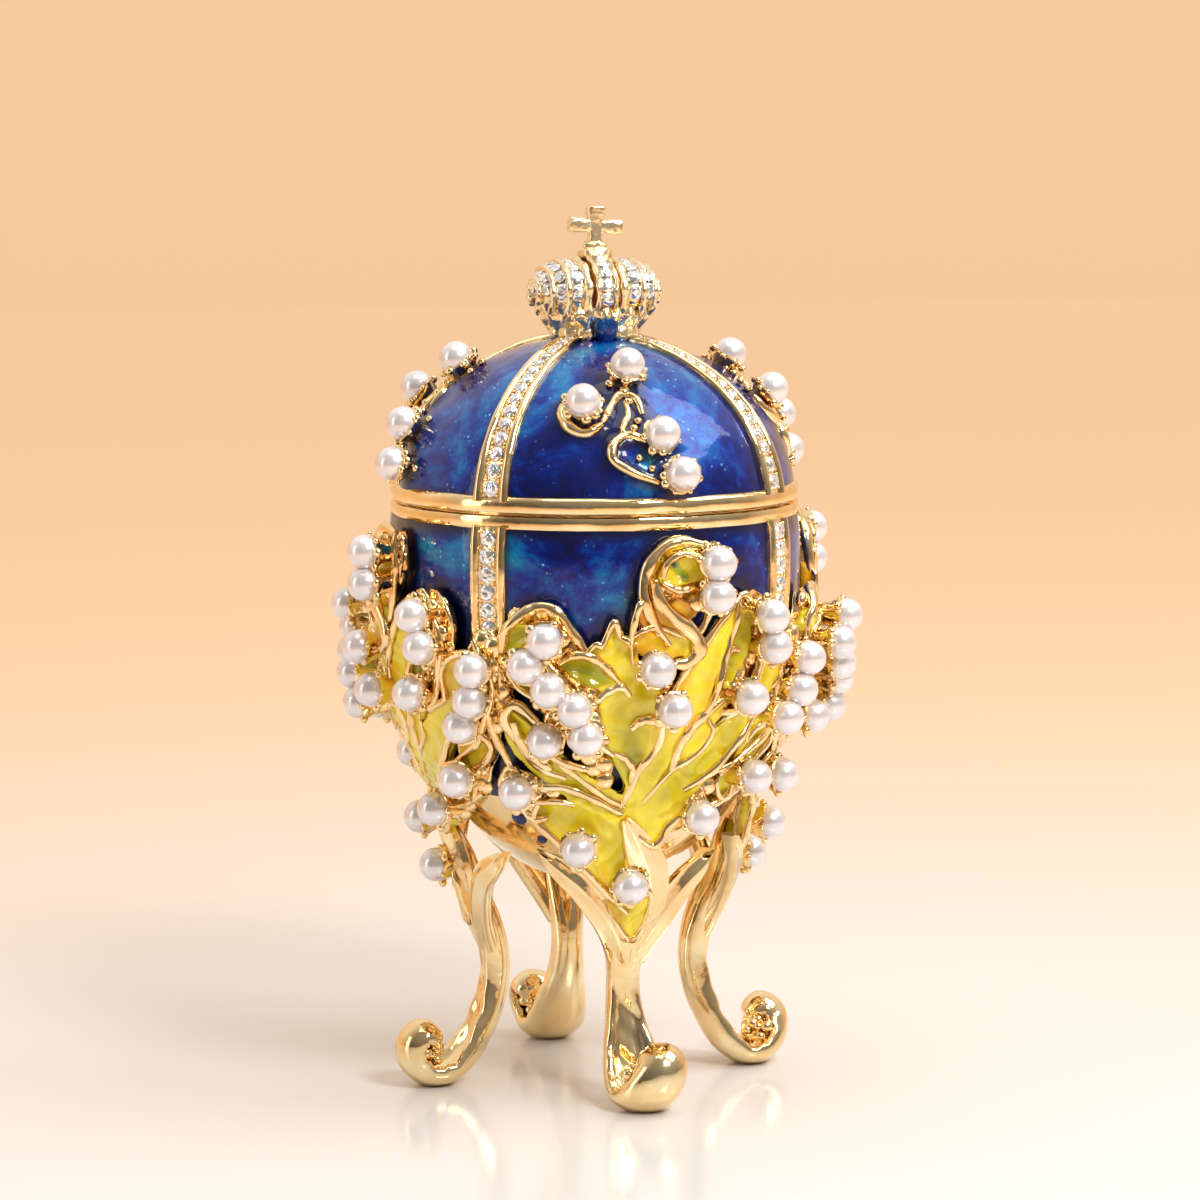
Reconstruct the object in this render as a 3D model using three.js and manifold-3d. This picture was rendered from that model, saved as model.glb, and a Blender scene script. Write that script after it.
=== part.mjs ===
// Egg-shaped trinket box on four scrolled legs: a hollow bowl and a hollow lift-off lid, a crown finial,
// four cast legs that open into lily leaves round the bowl, and pearls on the leaves and on the lid.
// Millimetres, +Z up, origin on the ground under the middle. The front leg points along -Y.
import * as THREE from "three";
import { mergeVertices } from "three/addons/utils/BufferGeometryUtils.js";
import Module from "manifold-3d";

const wasm = await Module();
wasm.setup();

// Driving dimensions of the egg
const SEAM_Z = 63.6; // height of the joint between lid and bowl
const SEAM_RADIUS = 21.7; // outside radius at the joint
const LID_HEIGHT = 17.5; // joint to the top of the dome
const LID_WALL = 1.4;
const BELLY_PROUD = 0.6; // widest radius of the bowl, beyond that at the joint
const BELLY_Z = 58; // height of the widest place
const BOWL_DEPTH = 36.5; // widest place down to the lowest point of the egg
const BOWL_FULLNESS = 2.2; // 2 is an ellipse, more is fuller
const BOWL_WALL = 1.6;
const ROUND_SIDES = 24;

// The joint between lid and bowl
const SEAM_GAP = 0.3; // between the two rims
const RIM_HEIGHT = 1.7; // gilt band on each rim
const RIM_PROUD = 0.45; // band beyond the dome
const LIP_HEIGHT = 2.4; // locating lip of the bowl, inside the lid
const LIP_WALL = 1.0;
const LIP_CLEARANCE = 0.35; // lip to lid, all round

// Gem channels: four bands up the lid and four down the bowl
const BAND_HALF_FOOT = 1.95;
const BAND_HALF_TOP = 1.3; // half width near the crown
const BAND_PROUD = 0.6;
const BAND_SUNK = 0.4; // into the wall it is cast with
const BAND_TOP_RADIUS = 5.2; // where a lid band ends under the crown
const BOWL_BAND_BOTTOM_Z = 50.4;

// Pearls and the gap that glued and soldered pieces keep
const PEARL_RADIUS = 1.85;
const PIECE_GAP = 0.32;
const PEARL_SIDES = 6;
const PEARL_RINGS = 4;
const PEARL_STEP = 1.84 * PEARL_RADIUS; // between the middles of touching pearls

// Legs and leaves
const QUARTERS = ["front", "right", "back", "left"];
const QUARTER_TURN = Math.PI / 2;
const CASTING_GAP = 0.45; // radial gap between the leaf castings and the bowl
const CALYX_Z = 20.5; // a height on the line where the leaves leave the egg for the leg
const CALYX_RADIUS = 12.6; // inside radius of the casting at that height
const CALYX_SLOPE = 0.36; // radius gained per millimetre of height
const CALYX_TOP_Z = 36; // above this the casting follows the bowl alone
const LEAF_TOP = 1.8; // raised edge of a leaf above the casting's inside
const HOOD_TOP = 2.5; // the same on the hood leaf
const SHOULDER_TOP = 2.9; // the same on the shoulder leaf
const LEAF_DISH = 1.25; // its hollowed middle

// Crown finial, heights above the underside of its seat
const CROWN_SEAT_RADIUS = 3.9;
const CROWN_SEAT_HEIGHT = 1.5;
const CROWN_LOBE_Z = 4.3;
const CROWN_LOBE_HALF_HEIGHT = 3.2;
const CROWN_LOBE_HALF_WIDTH = 3.6;
const CROWN_HALF_WIDTH = 6.7;
const CROWN_HALF_DEPTH = 5.6;
const CROWN_ARCH_HALF_HEIGHT = 3.9;
const CROWN_ARCH_WIDTH = 1.9;
const ORB_Z = 8.5;
const ORB_RADIUS = 1.85;
const ORB_HALF_HEIGHT = 1.3;
const CROSS_HEIGHT = 4.35;
const CROSS_SPAN = 5.9;
const CROSS_BAR = 1.75;
const CROSS_THICKNESS = 1.5;
const CROSS_ARM_SHARE = 0.51; // height of the arms, as a share of the cross

const radians = THREE.MathUtils.degToRad;
const BELLY_RADIUS = SEAM_RADIUS + BELLY_PROUD;

const material = (name, color, roughness, metalness) =>
  new THREE.MeshStandardMaterial({ name, color, roughness, metalness });
const GOLD = material("gilt", 0xd9b15a, 0.25, 1);
const BLUE = material("blue_enamel", 0x12309a, 0.12, 0.2);
const PEARL = material("pearl", 0xf1e6e2, 0.25, 0);

// Outside radius of the bowl at a height
function bowlRadius(z) {
  if (z >= BELLY_Z) {
    const rise = (z - BELLY_Z) / (SEAM_Z - BELLY_Z);
    return BELLY_RADIUS - (BELLY_RADIUS - SEAM_RADIUS) * rise ** 2;
  }
  const fall = Math.min(1, (BELLY_Z - z) / BOWL_DEPTH);
  return BELLY_RADIUS * Math.sqrt(1 - fall ** BOWL_FULLNESS);
}

// Inside radius of a leaf casting: on the bowl above, a straight line down to the leg below
function castingRadius(z) {
  const calyx = CALYX_RADIUS + (Math.min(z, CALYX_TOP_Z) - CALYX_Z) * CALYX_SLOPE;
  return Math.max(bowlRadius(z) + CASTING_GAP, calyx);
}

const cylindrical = (angle, radius, z) =>
  new THREE.Vector3(radius * Math.sin(angle), -radius * Math.cos(angle), z);

function toSolid(geometry) {
  const bare = geometry.index ? geometry.toNonIndexed() : geometry.clone();
  bare.deleteAttribute("normal");
  bare.deleteAttribute("uv");
  const merged = mergeVertices(bare, 1e-4);
  const solid = new wasm.Manifold(
    new wasm.Mesh({
      numProp: 3,
      vertProperties: merged.attributes.position.array,
      triVerts: new Uint32Array(merged.index.array),
    }),
  );
  return solid;
}

function toGeometry(solid) {
  const mesh = solid.getMesh();
  return new THREE.BufferGeometry()
    .setAttribute("position", new THREE.BufferAttribute(mesh.vertProperties, 3))
    .setIndex(new THREE.BufferAttribute(mesh.triVerts, 1));
}

const join = (geometries) =>
  geometries.map(toSolid).reduce((whole, piece) => whole.add(piece));

// A closed skin over a row of rings of points, all with the same number of points
function skin(rings) {
  const size = rings[0].length;
  const corners = rings.flat();
  const faces = [];
  for (let i = 0; i + 1 < rings.length; i++)
    for (let j = 0; j < size; j++) {
      const a = i * size + j;
      const b = i * size + ((j + 1) % size);
      faces.push(a, b, a + size, b, b + size, a + size);
    }
  const last = (rings.length - 1) * size;
  for (let j = 1; j + 1 < size; j++) faces.push(0, j + 1, j, last, last + j, last + j + 1);
  const geometry = new THREE.BufferGeometry().setFromPoints(corners).setIndex(faces);
  if (toSolid(geometry).volume() < 0) geometry.setIndex(faces.toReversed());
  return geometry;
}

// Lid: a dome with a gilt rim, hollow underneath
const LID_FOOT_Z = SEAM_Z + SEAM_GAP / 2;
const lidRadius = (z, wall = 0) => {
  const share = (z - SEAM_Z) / (LID_HEIGHT - wall);
  return (SEAM_RADIUS - wall) * Math.sqrt(Math.max(0, 1 - share ** 2));
};

// Points up the dome from a height to the axis, evenly spaced in angle
function domePoints(fromZ, wall, count) {
  const start = Math.asin((fromZ - SEAM_Z) / (LID_HEIGHT - wall));
  return Array.from({ length: count }, (_, i) => {
    const angle = start + ((Math.PI / 2 - start) * i) / (count - 1);
    const radius = i === count - 1 ? 0 : (SEAM_RADIUS - wall) * Math.cos(angle);
    return new THREE.Vector2(radius, SEAM_Z + (LID_HEIGHT - wall) * Math.sin(angle));
  });
}

function rimProfile(footZ, direction, innerRadius) {
  const edge = SEAM_RADIUS + RIM_PROUD;
  return [
    new THREE.Vector2(innerRadius, footZ),
    new THREE.Vector2(edge - 0.3, footZ),
    new THREE.Vector2(edge, footZ + direction * 0.35),
    new THREE.Vector2(edge, footZ + direction * (RIM_HEIGHT - 0.4)),
  ];
}

const LATHE_START = Math.PI / ROUND_SIDES;
function turned(profile) {
  return new THREE.LatheGeometry(profile, ROUND_SIDES, LATHE_START).rotateX(Math.PI / 2);
}

function lidShell() {
  const rim = rimProfile(LID_FOOT_Z, 1, SEAM_RADIUS - LID_WALL);
  const outside = domePoints(LID_FOOT_Z + RIM_HEIGHT, 0, 8);
  const inside = domePoints(LID_FOOT_Z + RIM_HEIGHT, LID_WALL, 6).reverse();
  return turned([...rim, ...outside, ...inside, rim[0]]);
}

// A raised band on the lid or bowl along a meridian, given as points (radius, height) up its middle
function band(points, outward, halfWidths) {
  return skin(
    points.map((p, i) => {
      const half = halfWidths[i];
      const at = (side, lift) =>
        new THREE.Vector3(side * half, -(p.x + outward[i].x * lift), p.y + outward[i].y * lift);
      return [at(-1, -BAND_SUNK), at(1, -BAND_SUNK), at(1, BAND_PROUD), at(-1, BAND_PROUD)];
    }),
  );
}

function lidBand() {
  const start = Math.asin((LID_FOOT_Z + RIM_HEIGHT - 0.5 - SEAM_Z) / LID_HEIGHT);
  const end = Math.acos(BAND_TOP_RADIUS / SEAM_RADIUS);
  const steps = 5;
  const angles = Array.from({ length: steps + 1 }, (_, i) => start + ((end - start) * i) / steps);
  const points = angles.map(
    (a) => new THREE.Vector2(SEAM_RADIUS * Math.cos(a), SEAM_Z + LID_HEIGHT * Math.sin(a)),
  );
  const outward = angles.map((a) =>
    new THREE.Vector2(LID_HEIGHT * Math.cos(a), SEAM_RADIUS * Math.sin(a)).normalize(),
  );
  const halves = angles.map((_, i) =>
    THREE.MathUtils.lerp(BAND_HALF_FOOT, BAND_HALF_TOP, i / steps),
  );
  return band(points, outward, halves);
}

function bowlBand() {
  const steps = 3;
  const top = SEAM_Z - SEAM_GAP / 2 - RIM_HEIGHT + 0.5;
  const heights = Array.from({ length: steps + 1 }, (_, i) =>
    THREE.MathUtils.lerp(BOWL_BAND_BOTTOM_Z, top, i / steps),
  );
  const points = heights.map((z) => new THREE.Vector2(bowlRadius(z), z));
  return band(points, points.map(() => new THREE.Vector2(1, 0)), heights.map(() => BAND_HALF_FOOT));
}

// Four copies turned to the quarters between the legs
function betweenLegs(geometry) {
  return QUARTERS.map((_, i) => geometry.clone().rotateZ((i + 0.5) * QUARTER_TURN));
}

function makeLid() {
  return toGeometry(join([lidShell(), ...betweenLegs(lidBand())]));
}

// The bowl's outline from its widest place down, as shares of its depth
const OUTSIDE_SHARES = [0, 0.165, 0.33, 0.49, 0.645, 0.78, 0.89, 0.965];
const INSIDE_SHARES = [0.95, 0.88, 0.78, 0.62, 0.43, 0.22, 0];

// A point on the bowl's outside, moved in by a wall at right angles to it
function bowlPoint(share, wall = 0) {
  const z = BELLY_Z - BOWL_DEPTH * share;
  const step = 0.01;
  const along = new THREE.Vector2(bowlRadius(z + step) - bowlRadius(z - step), 2 * step).normalize();
  return new THREE.Vector2(bowlRadius(z) - wall * along.y, z + wall * along.x);
}

// Bowl: an egg cup with a gilt rim and a lip that keeps the lid in place
function bowlShell() {
  const footZ = SEAM_Z - SEAM_GAP / 2;
  const rim = rimProfile(footZ, -1, SEAM_RADIUS - LID_WALL);
  const lipOut = SEAM_RADIUS - LID_WALL - LIP_CLEARANCE;
  const lipIn = lipOut - LIP_WALL;
  const inside = INSIDE_SHARES.map((share) => bowlPoint(share, BOWL_WALL));
  const outside = OUTSIDE_SHARES.map((share) => bowlPoint(share));
  return turned(
    [
      new THREE.Vector2(0, inside[0].y),
      ...inside,
      new THREE.Vector2(lipIn, footZ - RIM_HEIGHT),
      new THREE.Vector2(lipIn, footZ + LIP_HEIGHT),
      new THREE.Vector2(lipOut, footZ + LIP_HEIGHT),
      new THREE.Vector2(lipOut, footZ),
      ...rim.slice(1),
      new THREE.Vector2(bowlRadius(footZ - RIM_HEIGHT), footZ - RIM_HEIGHT),
      ...outside,
      new THREE.Vector2(0, BELLY_Z - BOWL_DEPTH),
    ].reverse(),
  );
}

function makeBowl() {
  return toGeometry(join([bowlShell(), ...betweenLegs(bowlBand())]));
}

// A point over the casting's inside face: a place [degrees, height] moved across and up, then lifted off
function overCasting([degrees, z], across, up, lift) {
  const height = z + up;
  const angle = radians(degrees) + across / castingRadius(z);
  return cylindrical(angle, castingRadius(height) + lift, height);
}

// The middle line of a leaf or stem on the unrolled egg, bowed sideways by some millimetres
function spine(from, to, bow, steps) {
  const arc = radians(1) * castingRadius((from[1] + to[1]) / 2);
  const start = new THREE.Vector2(from[0] * arc, from[1]);
  const end = new THREE.Vector2(to[0] * arc, to[1]);
  const along = end.clone().sub(start);
  const side = new THREE.Vector2(-along.y, along.x).normalize();
  const control = start.clone().lerp(end, 0.5).addScaledVector(side, 2 * bow);
  const curve = new THREE.QuadraticBezierCurve(start, control, end);
  return Array.from({ length: steps + 1 }, (_, i) => {
    const p = curve.getPoint(i / steps);
    const t = curve.getTangent(i / steps);
    return { place: [p.x / arc, p.y], side: new THREE.Vector2(-t.y, t.x) };
  });
}

// A leaf with raised edges and a hollowed middle
function leaf(shape) {
  const {
    from,
    to,
    bow = 0,
    half,
    top = LEAF_TOP,
    dish = LEAF_DISH,
    root = 0.7,
    tip = 0.16,
    steps = 3,
  } = shape;
  return skin(
    spine(from, to, bow, steps).map(({ place, side }, i) => {
      const share = i / steps;
      const swell = Math.sin(Math.PI * (0.12 + 0.83 * share)) ** 0.8;
      const w = half * Math.max(swell, share < 0.5 ? root : tip);
      const at = (s, lift) => overCasting(place, side.x * w * s, side.y * w * s, lift);
      return [at(-1, 0), at(-1, top), at(0, dish), at(1, top), at(1, 0)];
    }),
  );
}

// A narrow stem under a row of pearls
function stem({ from, to, bow = 0, half = 0.8, top = LEAF_TOP, steps = 2 }) {
  return skin(
    spine(from, to, bow, steps).map(({ place, side }) => {
      const at = (s, lift) => overCasting(place, side.x * half * s, side.y * half * s, lift);
      return [at(-1, 0), at(-0.7, top), at(0.7, top), at(1, 0)];
    }),
  );
}

// Leaves and stems of one quarter: places are [degrees from the leg, height]
const LEAVES = [
  { from: [2.5, 17.5], to: [1, 37], half: 5, root: 0.25, tip: 0.6 }, // heart leaf above the leg
  { from: [8.5, 34], to: [22.8, 55.4], bow: 1, half: 2.7, steps: 4 }, // tall blade
  { from: [-1.5, 35], to: [-11, 52], bow: -0.6, half: 3.2 }, // middle leaf
  { from: [-8.5, 43.5], to: [-23.5, 49.5], bow: -0.9, half: 2 }, // small leaf beside it
  { from: [-8, 33.5], to: [-42, 44], bow: -2.2, half: 3.3, steps: 4 }, // left leaf, curling up
  { from: [-5, 26.5], to: [-43, 33.5], bow: -0.5, half: 3.6 }, // low left lobe
  { from: [11, 31], to: [42, 39.5], bow: 0.7, half: 3.2 }, // right leaf
  { from: [10, 46.5], to: [7.5, 61], bow: 0.8, half: 2.9, top: HOOD_TOP, dish: 1.4 }, // hood leaf
  { from: [-23, 42.5], to: [-34, 54], bow: 0.5, half: 3.3, top: SHOULDER_TOP, dish: 2 }, // shoulder leaf
  { from: [19.5, 43], to: [31, 54.5], bow: -0.9, half: 1.9 }, // leaf under the upper pearls
];
const STEMS = [
  { from: [-3, 19.5], to: [-35.5, 27.4], bow: -0.5, half: 1.4 }, // branches of the leg
  { from: [4, 19.5], to: [35.5, 27], bow: 0.5, half: 1.4 },
  { from: [-12, 36.5], to: [-21.5, 46], bow: -0.8, half: 1, top: SHOULDER_TOP },
  { from: [34, 39], to: [45.5, 49.5], bow: -0.6, half: 1.2 },
];

// One leg: (radius, height) down the middle of the trunk and round the scroll of the foot,
// with half its width and half its thickness at each place
const LEG_PATH = [
  [14.4, 26, 1.2, 0.9],
  [13.6, 21.5, 2.3, 1.5],
  [12, 17, 2.1, 1.7],
  [11.3, 13, 1.8, 1.7],
  [11.7, 9.4, 2, 1.65],
  [12.9, 6.1, 2.6, 1.6],
  [14.7, 2.95, 3.1, 1.5],
  [17, 1.1, 3.3, 1.4],
  [19.5, 1.3, 3.3, 1.3],
  [21.2, 3.1, 3.2, 1.2],
  [21.3, 5.4, 3.1, 1.15],
  [19.9, 6.6, 2.9, 1.1],
  [18.6, 5.8, 2.6, 0.9],
];

function legTrunk() {
  const places = LEG_PATH.map(([r, z]) => new THREE.Vector2(r, z));
  return skin(
    LEG_PATH.map(([r, z, halfWidth, halfThickness], i) => {
      const before = places[Math.max(0, i - 1)];
      const after = places[Math.min(places.length - 1, i + 1)];
      const along = after.clone().sub(before).normalize();
      const outward = new THREE.Vector2(-along.y, along.x);
      const at = (side, lift) =>
        new THREE.Vector3(
          side * halfWidth,
          -(r + outward.x * lift * halfThickness),
          z + outward.y * lift * halfThickness,
        );
      return [at(-0.75, 1), at(0, 0.55), at(0.75, 1), at(1, 0), at(0.6, -1), at(-0.6, -1), at(-1, 0)];
    }),
  );
}

function makeLeg() {
  const belowGround = new THREE.BoxGeometry(60, 60, 10).translate(0, 0, -5);
  const pieces = [legTrunk(), ...LEAVES.map(leaf), ...STEMS.map(stem)];
  return join(pieces).subtract(toSolid(belowGround));
}

// Pearls: rows that touch are one node; top is the height of the leaf edge they stand on
const PEARL_ROWS = [
  { name: "hood", top: HOOD_TOP, places: [[12.5, 59], [12.3, 55.4]] },
  { name: "upper", places: [[28.8, 52.9], [30.6, 49.4]] },
  { name: "blade", places: [[24.8, 44.4]] },
  { name: "rib", places: [[45.2, 47.7], [43.8, 44.2], [39.8, 41.4]] },
  { name: "right_leaf", places: [[33.8, 35.3]] },
  {
    name: "shoulder",
    top: SHOULDER_TOP,
    places: [[-26.2, 51.3], [-30.8, 48.5], [-25.6, 46.1], [-19.3, 43.9], [-17.1, 40.7]],
  },
  { name: "middle", places: [[-0.8, 48.1]] },
  { name: "tall_blade", places: [[3.9, 43.7]] },
  { name: "low_right", places: [[18.2, 31.3]] },
];

// A pearl with one pole towards a neighbour
function pearlBall(direction) {
  const turn = new THREE.Quaternion().setFromUnitVectors(new THREE.Vector3(0, 1, 0), direction);
  return new THREE.SphereGeometry(PEARL_RADIUS, PEARL_SIDES, PEARL_RINGS).applyQuaternion(turn);
}

// Each pearl of a row is slid towards the one before it until the two touch
function pearlRow({ top = LEAF_TOP, places }) {
  const lift = top + PIECE_GAP + PEARL_RADIUS;
  const centres = [];
  for (const [degrees, z] of places) {
    const centre = cylindrical(radians(degrees), castingRadius(z) + lift, z);
    const before = centres.at(-1);
    centres.push(before ? centre.sub(before).setLength(PEARL_STEP).add(before) : centre);
  }
  const upright = new THREE.Vector3(0, 0, 1);
  return join(
    centres.map((centre, i) => {
      const [here, there] = i + 1 < centres.length ? [centre, centres[i + 1]] : [centres[i - 1], centre];
      const direction = here ? there.clone().sub(here).normalize() : upright;
      return pearlBall(direction).translate(centre.x, centre.y, centre.z);
    }),
  );
}

// Pearls on each quarter of the lid: degrees from the leg, and how far up the dome
const LID_PEARLS = [
  [-2.2, 0.766],
  [-18.9, 0.589],
  [3.8, 0.423],
  [7.8, 0.217],
];

function lidPearl([degrees, share]) {
  const z = SEAM_Z + LID_HEIGHT * share;
  const r = lidRadius(z);
  const outward = new THREE.Vector2(r / SEAM_RADIUS ** 2, (z - SEAM_Z) / LID_HEIGHT ** 2).normalize();
  const lift = PEARL_RADIUS + PIECE_GAP;
  const p = cylindrical(radians(degrees), r + outward.x * lift, z + outward.y * lift);
  return pearlBall(new THREE.Vector3(0, 0, 1)).translate(p.x, p.y, p.z);
}

// Crown finial: a seat, two lobes, an arch between them, an orb and a cross
function makeCrown() {
  const ball = (sides, rings) => new THREE.SphereGeometry(1, sides, rings).rotateX(Math.PI / 2);
  const seat = new THREE.CylinderGeometry(CROWN_SEAT_RADIUS + 0.6, CROWN_SEAT_RADIUS, CROWN_SEAT_HEIGHT, 12)
    .rotateX(Math.PI / 2)
    .translate(0, 0, CROWN_SEAT_HEIGHT / 2);
  const lobes = [-1, 1].map((side) =>
    ball(10, 6)
      .scale(CROWN_LOBE_HALF_WIDTH, CROWN_HALF_DEPTH - 0.5, CROWN_LOBE_HALF_HEIGHT)
      .translate(side * (CROWN_HALF_WIDTH - CROWN_LOBE_HALF_WIDTH), 0, CROWN_LOBE_Z),
  );
  const arch = new THREE.CylinderGeometry(1, 1, CROWN_ARCH_WIDTH, 14)
    .rotateZ(Math.PI / 2)
    .scale(1, CROWN_HALF_DEPTH, CROWN_ARCH_HALF_HEIGHT)
    .translate(0, 0, CROWN_LOBE_Z);
  const orb = ball(8, 5).scale(ORB_RADIUS, ORB_RADIUS, ORB_HALF_HEIGHT).translate(0, 0, ORB_Z);
  const crossFoot = ORB_Z + ORB_HALF_HEIGHT * 0.5;
  const upright = new THREE.BoxGeometry(CROSS_BAR, CROSS_THICKNESS, CROSS_HEIGHT)
    .translate(0, 0, crossFoot + CROSS_HEIGHT / 2);
  const arms = new THREE.BoxGeometry(CROSS_SPAN, CROSS_THICKNESS - 0.1, CROSS_BAR)
    .translate(0, 0, crossFoot + CROSS_HEIGHT * CROSS_ARM_SHARE);
  return join([seat, ...lobes, arch, orb, upright, arms])
    .translate([0, 0, SEAM_Z + LID_HEIGHT + PIECE_GAP]);
}

function mesh(name, geometry, look) {
  const made = new THREE.Mesh(geometry, look);
  made.name = name;
  return made;
}

const box = new THREE.Group();
box.add(mesh("bowl", makeBowl(), BLUE));
box.add(mesh("lid", makeLid(), BLUE));
box.add(mesh("crown_finial", toGeometry(makeCrown()), GOLD));

const leg = toGeometry(makeLeg());
const rowShapes = PEARL_ROWS.map((row) => toGeometry(pearlRow(row)));
const lidPearlShapes = LID_PEARLS.map(lidPearl);
QUARTERS.forEach((side, i) => {
  const quarter = new THREE.Group();
  quarter.rotation.z = i * QUARTER_TURN;
  quarter.add(mesh(`lily_leg_${side}`, leg, GOLD));
  PEARL_ROWS.forEach((row, j) => quarter.add(mesh(`pearls_${row.name}_${side}`, rowShapes[j], PEARL)));
  lidPearlShapes.forEach((shape, j) => quarter.add(mesh(`lid_pearl_${j + 1}_${side}`, shape, PEARL)));
  box.add(quarter);
});

export default box;
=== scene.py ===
import math
import bpy
import numpy as np
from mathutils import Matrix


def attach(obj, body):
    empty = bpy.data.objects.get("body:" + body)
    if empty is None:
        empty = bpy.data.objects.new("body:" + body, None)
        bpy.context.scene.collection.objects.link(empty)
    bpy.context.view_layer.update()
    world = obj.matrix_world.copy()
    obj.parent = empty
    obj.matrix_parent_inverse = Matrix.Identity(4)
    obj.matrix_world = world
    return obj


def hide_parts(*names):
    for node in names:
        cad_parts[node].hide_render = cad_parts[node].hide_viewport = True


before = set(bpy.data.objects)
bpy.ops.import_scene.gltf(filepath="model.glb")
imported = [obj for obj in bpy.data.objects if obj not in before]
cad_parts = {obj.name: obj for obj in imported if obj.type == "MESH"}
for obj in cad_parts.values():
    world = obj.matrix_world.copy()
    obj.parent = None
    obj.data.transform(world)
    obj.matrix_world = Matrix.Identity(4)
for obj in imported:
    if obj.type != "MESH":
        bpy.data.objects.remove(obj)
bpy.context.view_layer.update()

MM = 0.001
QUARTERS = ["front", "right", "back", "left"]

# The egg, in millimetres, as the solids have it
SEAM_Z = 63.6
SEAM_RADIUS = 21.7
LID_HEIGHT = 17.5
LID_WALL = 1.4
BELLY_RADIUS = 22.3
BELLY_Z = 58.0
BOWL_DEPTH = 36.5
BOWL_FULLNESS = 2.2
BOWL_WALL = 1.6
SEAM_GAP = 0.3
RIM_HEIGHT = 1.7
RIM_PROUD = 0.45
LIP_HEIGHT = 2.4
LIP_WALL = 1.0
LIP_CLEARANCE = 0.35
ENAMEL = 0.35
ENAMEL_BOTTOM_Z = 33.0
MEAN_RADIUS = 22
# Painted shade on the enamel: how far it reaches from the raised gold, and how wide it fades
SHADE_REACH = 2.0
SHADE_WIDTH = 1.9

# The castings stand on this line round the egg, and each reaches a little past its quarter
QUARTER_REACH = 52
CASTING_GAP = 0.45
CALYX_Z = 20.5
CALYX_RADIUS = 12.6
CALYX_SLOPE = 0.36
CALYX_TOP_Z = 36.0
LEAF_TOP = 1.8
HOOD_TOP = 2.5
SHOULDER_TOP = 2.9
PEARL_RADIUS = 1.85
PEARL_GAP = 0.32
PEARL_STEP = 1.84 * PEARL_RADIUS
BAND_HALF_FOOT = 2.1
BAND_HALF_TOP = 1.35

CROWN_Z = SEAM_Z + LID_HEIGHT + PEARL_GAP


def bowl_radius(z):
    z = np.asarray(z, float)
    rise = (z - BELLY_Z) / (SEAM_Z - BELLY_Z)
    above = BELLY_RADIUS - (BELLY_RADIUS - SEAM_RADIUS) * rise**2
    fall = np.clip((BELLY_Z - z) / BOWL_DEPTH, 0, 1)
    below = BELLY_RADIUS * np.sqrt(1 - fall**BOWL_FULLNESS)
    return np.where(z >= BELLY_Z, above, below)


def casting_radius(z):
    z = np.asarray(z, float)
    calyx = CALYX_RADIUS + (np.minimum(z, CALYX_TOP_Z) - CALYX_Z) * CALYX_SLOPE
    return np.maximum(bowl_radius(z) + CASTING_GAP, calyx)


def lid_radius(z):
    share = (np.asarray(z, float) - SEAM_Z) / LID_HEIGHT
    return SEAM_RADIUS * np.sqrt(np.clip(1 - share**2, 0, 1))


def round_axis(degrees, radius, z):
    """Points at an angle from the front leg, a radius and a height."""
    angle = np.radians(np.asarray(degrees, float))
    radius = np.asarray(radius, float)
    parts = np.broadcast_arrays(radius * np.sin(angle), -radius * np.cos(angle), np.asarray(z, float))
    return np.stack(parts, -1)


def over_casting(degrees, z, lift):
    return round_axis(degrees, casting_radius(z) + lift, z)


def casting_line(rows, lift):
    """A line over the casting through rows of degrees and heights, and its directions straight out."""
    return over_casting(rows[:, 0], rows[:, 1], lift), round_axis(rows[:, 0], 1, 0)


def unit(v):
    return v / np.maximum(np.linalg.norm(v, axis=-1, keepdims=True), 1e-12)


def smooth_row(points, steps):
    """A Catmull-Rom curve through rows of numbers."""
    p = np.asarray(points, float)
    if len(p) < 3:
        return p[0] + (p[-1] - p[0]) * np.linspace(0, 1, steps + 1)[:, None]
    padded = np.vstack([2 * p[0] - p[1], p, 2 * p[-1] - p[-2]])
    rows = []
    for i in range(len(p) - 1):
        a, b, c, d = padded[i : i + 4]
        for t in np.arange(steps) / steps:
            bend = (2 * a - 5 * b + 4 * c - d) * t**2 + (3 * b - a - 3 * c + d) * t**3
            rows.append(0.5 * (2 * b + (c - a) * t + bend))
    return np.vstack([rows, p[-1]])


def turned(rows, degrees):
    """Points turned round the egg's axis."""
    spin = math.radians(degrees)
    c, s = math.cos(spin), math.sin(spin)
    return np.asarray(rows, float) @ np.array([[c, s, 0], [-s, c, 0], [0, 0, 1]])


def degrees_of(points):
    """The angle of each point from the front leg."""
    return np.degrees(np.arctan2(points[:, 0], -points[:, 1]))


def eased(share):
    """Shares from 0 to 1 that start and end gently."""
    share = np.clip(share, 0, 1)
    return share * share * (3 - 2 * share)


def circle(count):
    """Angles round a full turn."""
    return np.linspace(0, 2 * math.pi, count, endpoint=False)


def bulged(values, power):
    """Sines or cosines raised to a power with their sign kept, for rounder or squarer sections."""
    return np.sign(values) * np.abs(values) ** power


def lengths_along(rows):
    """The distance of each row from the first, along the line."""
    return np.concatenate([[0], np.cumsum(np.linalg.norm(np.diff(rows, axis=0), axis=1))])


def row_at(at, lengths, rows):
    """The row that lies at a distance along the line."""
    return np.array([np.interp(at, lengths, rows[:, k]) for k in range(3)])


class Shape:
    """Corners in millimetres and faces of one piece, gathered part by part."""

    def __init__(self):
        self.corners = []
        self.faces = []
        self.tones = []
        self.count = 0

    def add(self, corners, faces, tone=0.0):
        corners = np.asarray(corners, float).reshape(-1, 3)
        self.corners.append(corners)
        self.faces.extend([tuple(int(i) + self.count for i in face) for face in faces])
        self.tones.append(np.broadcast_to(np.asarray(tone, float), len(corners)))
        self.count += len(corners)
        return self

    def add_shape(self, other, turn):
        return self.add(turned(np.vstack(other.corners), turn), other.faces, np.concatenate(other.tones))


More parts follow.
